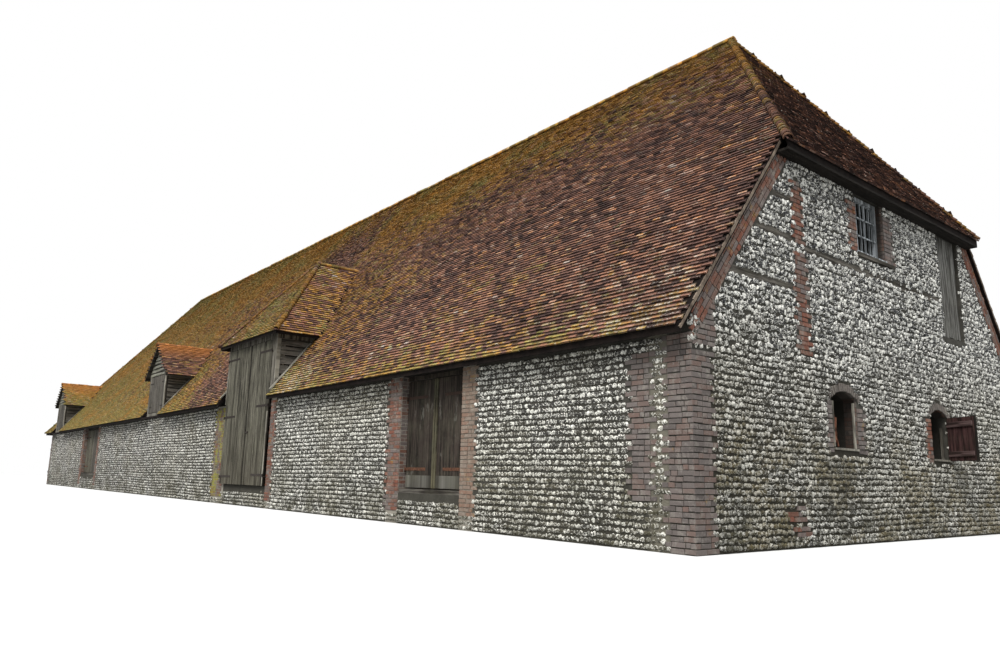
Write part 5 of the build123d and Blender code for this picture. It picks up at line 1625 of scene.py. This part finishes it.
class BARN_OT_far_doors(bpy.types.Operator):
    """Boards and straps of the far doorway"""
    bl_idname = "barn.far_doors"
    bl_label = "Far doors"

    def execute(self, context):
        board = settings("board")
        y = DOOR_BOARDS_Y
        near_side, far_side = (from_gable(side) for side in FAR_DOOR[1:3])
        meeting = (near_side + far_side) / 2
        foot = low("far_door_near_leaf").z
        top = high("far_door_near_leaf").z
        for seed, (side, hinge, direction, finish_name) in enumerate((
                ("near", near_side - 0.015, -1, "weatherboard"), ("far", far_side + 0.015, 1, "grey_boards"))):
            pile = Pile(f"far_boards_{side}", finish_name, "grey_door_boards", f"far_{side}_door")
            start, end = sorted((hinge, meeting - direction * 0.003))
            lay_boards(pile, (start, y, foot), X, end - start, top - foot, board.width, board.thickness,
                       56 + seed).build()
            iron = Pile(f"far_straps_{side}", "iron", "wrought_iron", f"far_{side}_door")
            start, end = sorted((hinge, hinge + direction * 0.36))
            for z in (0.535, 1.25):
                lone_board(iron, (start, y - 0.0095, z - 0.0155), (end, y - 0.003, z + 0.0155), "X")
            iron.build()
        return {"FINISHED"}


NODE_FINISHES = {
    "mortar": ("front_wall_near", "front_wall_middle", "front_wall_far", "front_wall_end", "rear_walls",
               "near_gable_lower", "near_gable_upper", "far_end_wall", "doorway_plinths"),
    "brickwork": ("brick_quoins_and_jambs", "gable_brickwork"),
    "bedding": ("roof_front_near", "roof_front_over", "roof_front_far", "roof_rear", "roof_half_hip",
                "roof_far_hip", "midstrey_roof", "ridge_tiles", "hip_bonnets"),
    "soffit": ("dormer_roofs",),
    "post_timber": ("arcade_posts", "midstrey_frame"),
    "beam_timber": ("arcade_plates",),
    "tie_timber": ("tie_beams", "arcade_braces", "principal_rafters"),
    "dark_timber": ("half_hip_board", "wall_plates"),
    "bedded_timber": ("wall_timbers",),
    "grey_leaf": ("midstrey_near_leaf", "midstrey_far_leaf", "far_door_near_leaf", "far_door_far_leaf",
                  "rear_doors"),
    "dark_leaf": ("middle_door_near_leaf", "middle_door_far_leaf"),
    "shade_backing_leaf": ("midstrey_cheeks", "dormer_fronts", "gable_shutters"),
    "window_timber": ("upper_window",),
    "iron": ("middle_door_near_straps", "middle_door_far_straps"),
    "dark_iron": ("midstrey_near_straps", "midstrey_far_straps", "hinge_pins"),
}


class BARN_OT_finishes(bpy.types.Operator):
    """Materials of the solids that show between the laid pieces"""
    bl_idname = "barn.finishes"
    bl_label = "Finishes of the solids"

    def execute(self, context):
        for name, nodes in NODE_FINISHES.items():
            for node in nodes:
                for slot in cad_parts[node].material_slots:
                    slot.material = finish(name)
        return {"FINISHED"}


# Studio

FOCAL_LENGTH = 27.475
CAMERA_TURN = (51.056, 10.773, 1.293)
CAMERA_FROM_FRONT = 4.173
CAMERA_HEIGHT = 0.458
KEY_DIRECTION = (0.35, -0.75, 1.0)
FLOOR_SIZE = 160


def floor_finish(tint):
    """Pale floor that keeps the shadow near the barn and fades to white far from it."""
    f = Finish("studio_floor", 0.95)
    seen = f.add("ShaderNodeLightPath").outputs["Is Camera Ray"]
    f.plug(f.shader.inputs["Base Color"], f.mix(seen, (0.30, 0.30, 0.29), tint))
    glow = f.add("ShaderNodeEmission", {"Color": (1, 1, 1), "Strength": 1.0})
    fade = f.span(f.reach(f.scaled("Object", (0.045, 0.10, 1))), 0.75, 1.9)
    mix = f.add("ShaderNodeMixShader", {0: f.times(fade, seen), 1: f.shader.outputs["BSDF"],
                                        2: glow.outputs["Emission"]})
    f.plug(f.kept("OUTPUT_MATERIAL").inputs["Surface"], mix.outputs["Shader"])
    return f.material


class BARN_OT_stage(bpy.types.Operator):
    """Camera at the photograph's place, pale floor, soft light and white surroundings"""
    bl_idname = "barn.stage"
    bl_label = "Studio"

    def execute(self, context):
        studio = settings("studio")
        scene = context.scene
        lens = bpy.data.cameras.new("photo_view")
        lens.sensor_width = 36
        lens.lens = FOCAL_LENGTH
        camera = bpy.data.objects.new("photo_view", lens)
        yaw, pitch, roll = (math.radians(angle) for angle in CAMERA_TURN)
        turn = (Matrix.Rotation(yaw, 3, "Z") @ Matrix.Rotation(math.pi / 2 + pitch, 3, "X")
                @ Matrix.Rotation(roll, 3, "Z"))
        place = Vector((GABLE + studio.distance, FRONT - CAMERA_FROM_FRONT, CAMERA_HEIGHT))
        camera.matrix_world = Matrix.Translation(place) @ turn.to_4x4()
        scene.collection.objects.link(camera)
        scene.camera = camera

        bpy.ops.object.select_all(action="DESELECT")
        bpy.ops.mesh.primitive_plane_add(size=FLOOR_SIZE, location=(0, 0, -0.002))
        floor = context.object
        floor.name = "studio_floor"
        bpy.ops.object.transform_apply(location=True)
        floor.data.materials.append(floor_finish(studio.floor))

        key = bpy.data.lights.new("key", "SUN")
        key.energy = studio.key
        key.angle = math.radians(28)
        key.color = (1.0, 0.985, 0.955)
        lamp = bpy.data.objects.new("key", key)
        lamp.rotation_euler = Vector(KEY_DIRECTION).to_track_quat("Z", "Y").to_euler()
        scene.collection.objects.link(lamp)

        scene.world = bpy.data.worlds.new("studio")
        scene.world.use_nodes = True
        sky = Nodes(scene.world.node_tree)
        rays = sky.add("ShaderNodeLightPath").outputs
        seen = sky.most(rays["Is Camera Ray"], rays["Is Glossy Ray"], rays["Is Transmission Ray"])
        height = sky.axis("Z", sky.coords["Generated"])
        soft = sky.kept("BACKGROUND")
        sky.plug(soft.inputs["Color"], (0.94, 0.97, 1.0))
        sky.plug(soft.inputs["Strength"], sky.span(height, -0.1, 0.9, studio.sky * 0.55, studio.sky * 1.35))
        white = sky.add("ShaderNodeBackground", {"Color": (1, 1, 1), "Strength": 1.0})
        mix = sky.add("ShaderNodeMixShader", {0: seen, 1: soft.outputs["Background"],
                                              2: white.outputs["Background"]})
        sky.plug(sky.kept("OUTPUT_WORLD").inputs["Surface"], mix.outputs["Shader"])
        scene.view_settings.view_transform = "Standard"
        return {"FINISHED"}


OPERATORS = (BARN_OT_stage, BARN_OT_finishes, BARN_OT_tiles, BARN_OT_annex_tiles, BARN_OT_ridges, BARN_OT_verges,
             BARN_OT_bricks, BARN_OT_flints, BARN_OT_tall_doors, BARN_OT_low_doors, BARN_OT_far_doors,
             BARN_OT_rear_doors, BARN_OT_midstrey_boards, BARN_OT_dormers, BARN_OT_gable_openings)
GROUPS = {"roof": RoofSettings, "flint": FlintSettings, "brick": BrickSettings, "board": BoardSettings,
          "studio": StudioSettings}


class BARN_PT_dressing(bpy.types.Panel):
    """The steps that dress the barn, in order"""
    bl_idname = "BARN_PT_dressing"
    bl_label = "Tithe barn"
    bl_space_type = "VIEW_3D"
    bl_region_type = "UI"
    bl_category = "Barn"

    def draw(self, context):
        for operator in OPERATORS:
            self.layout.operator(operator.bl_idname)
        for name, group in GROUPS.items():
            box = self.layout.box()
            for field in group.__annotations__:
                box.prop(settings(name), field)


def register():
    for cls in (*GROUPS.values(), *OPERATORS, BARN_PT_dressing):
        bpy.utils.register_class(cls)
    for name, group in GROUPS.items():
        setattr(bpy.types.Scene, "barn_" + name, PointerProperty(type=group))


def unregister():
    for name in GROUPS:
        delattr(bpy.types.Scene, "barn_" + name)
    for cls in reversed((*GROUPS.values(), *OPERATORS, BARN_PT_dressing)):
        bpy.utils.unregister_class(cls)


def main():
    register()
    for operator in OPERATORS:
        group, step = operator.bl_idname.split(".")
        getattr(getattr(bpy.ops, group), step)()


if __name__ == "__main__":
    main()
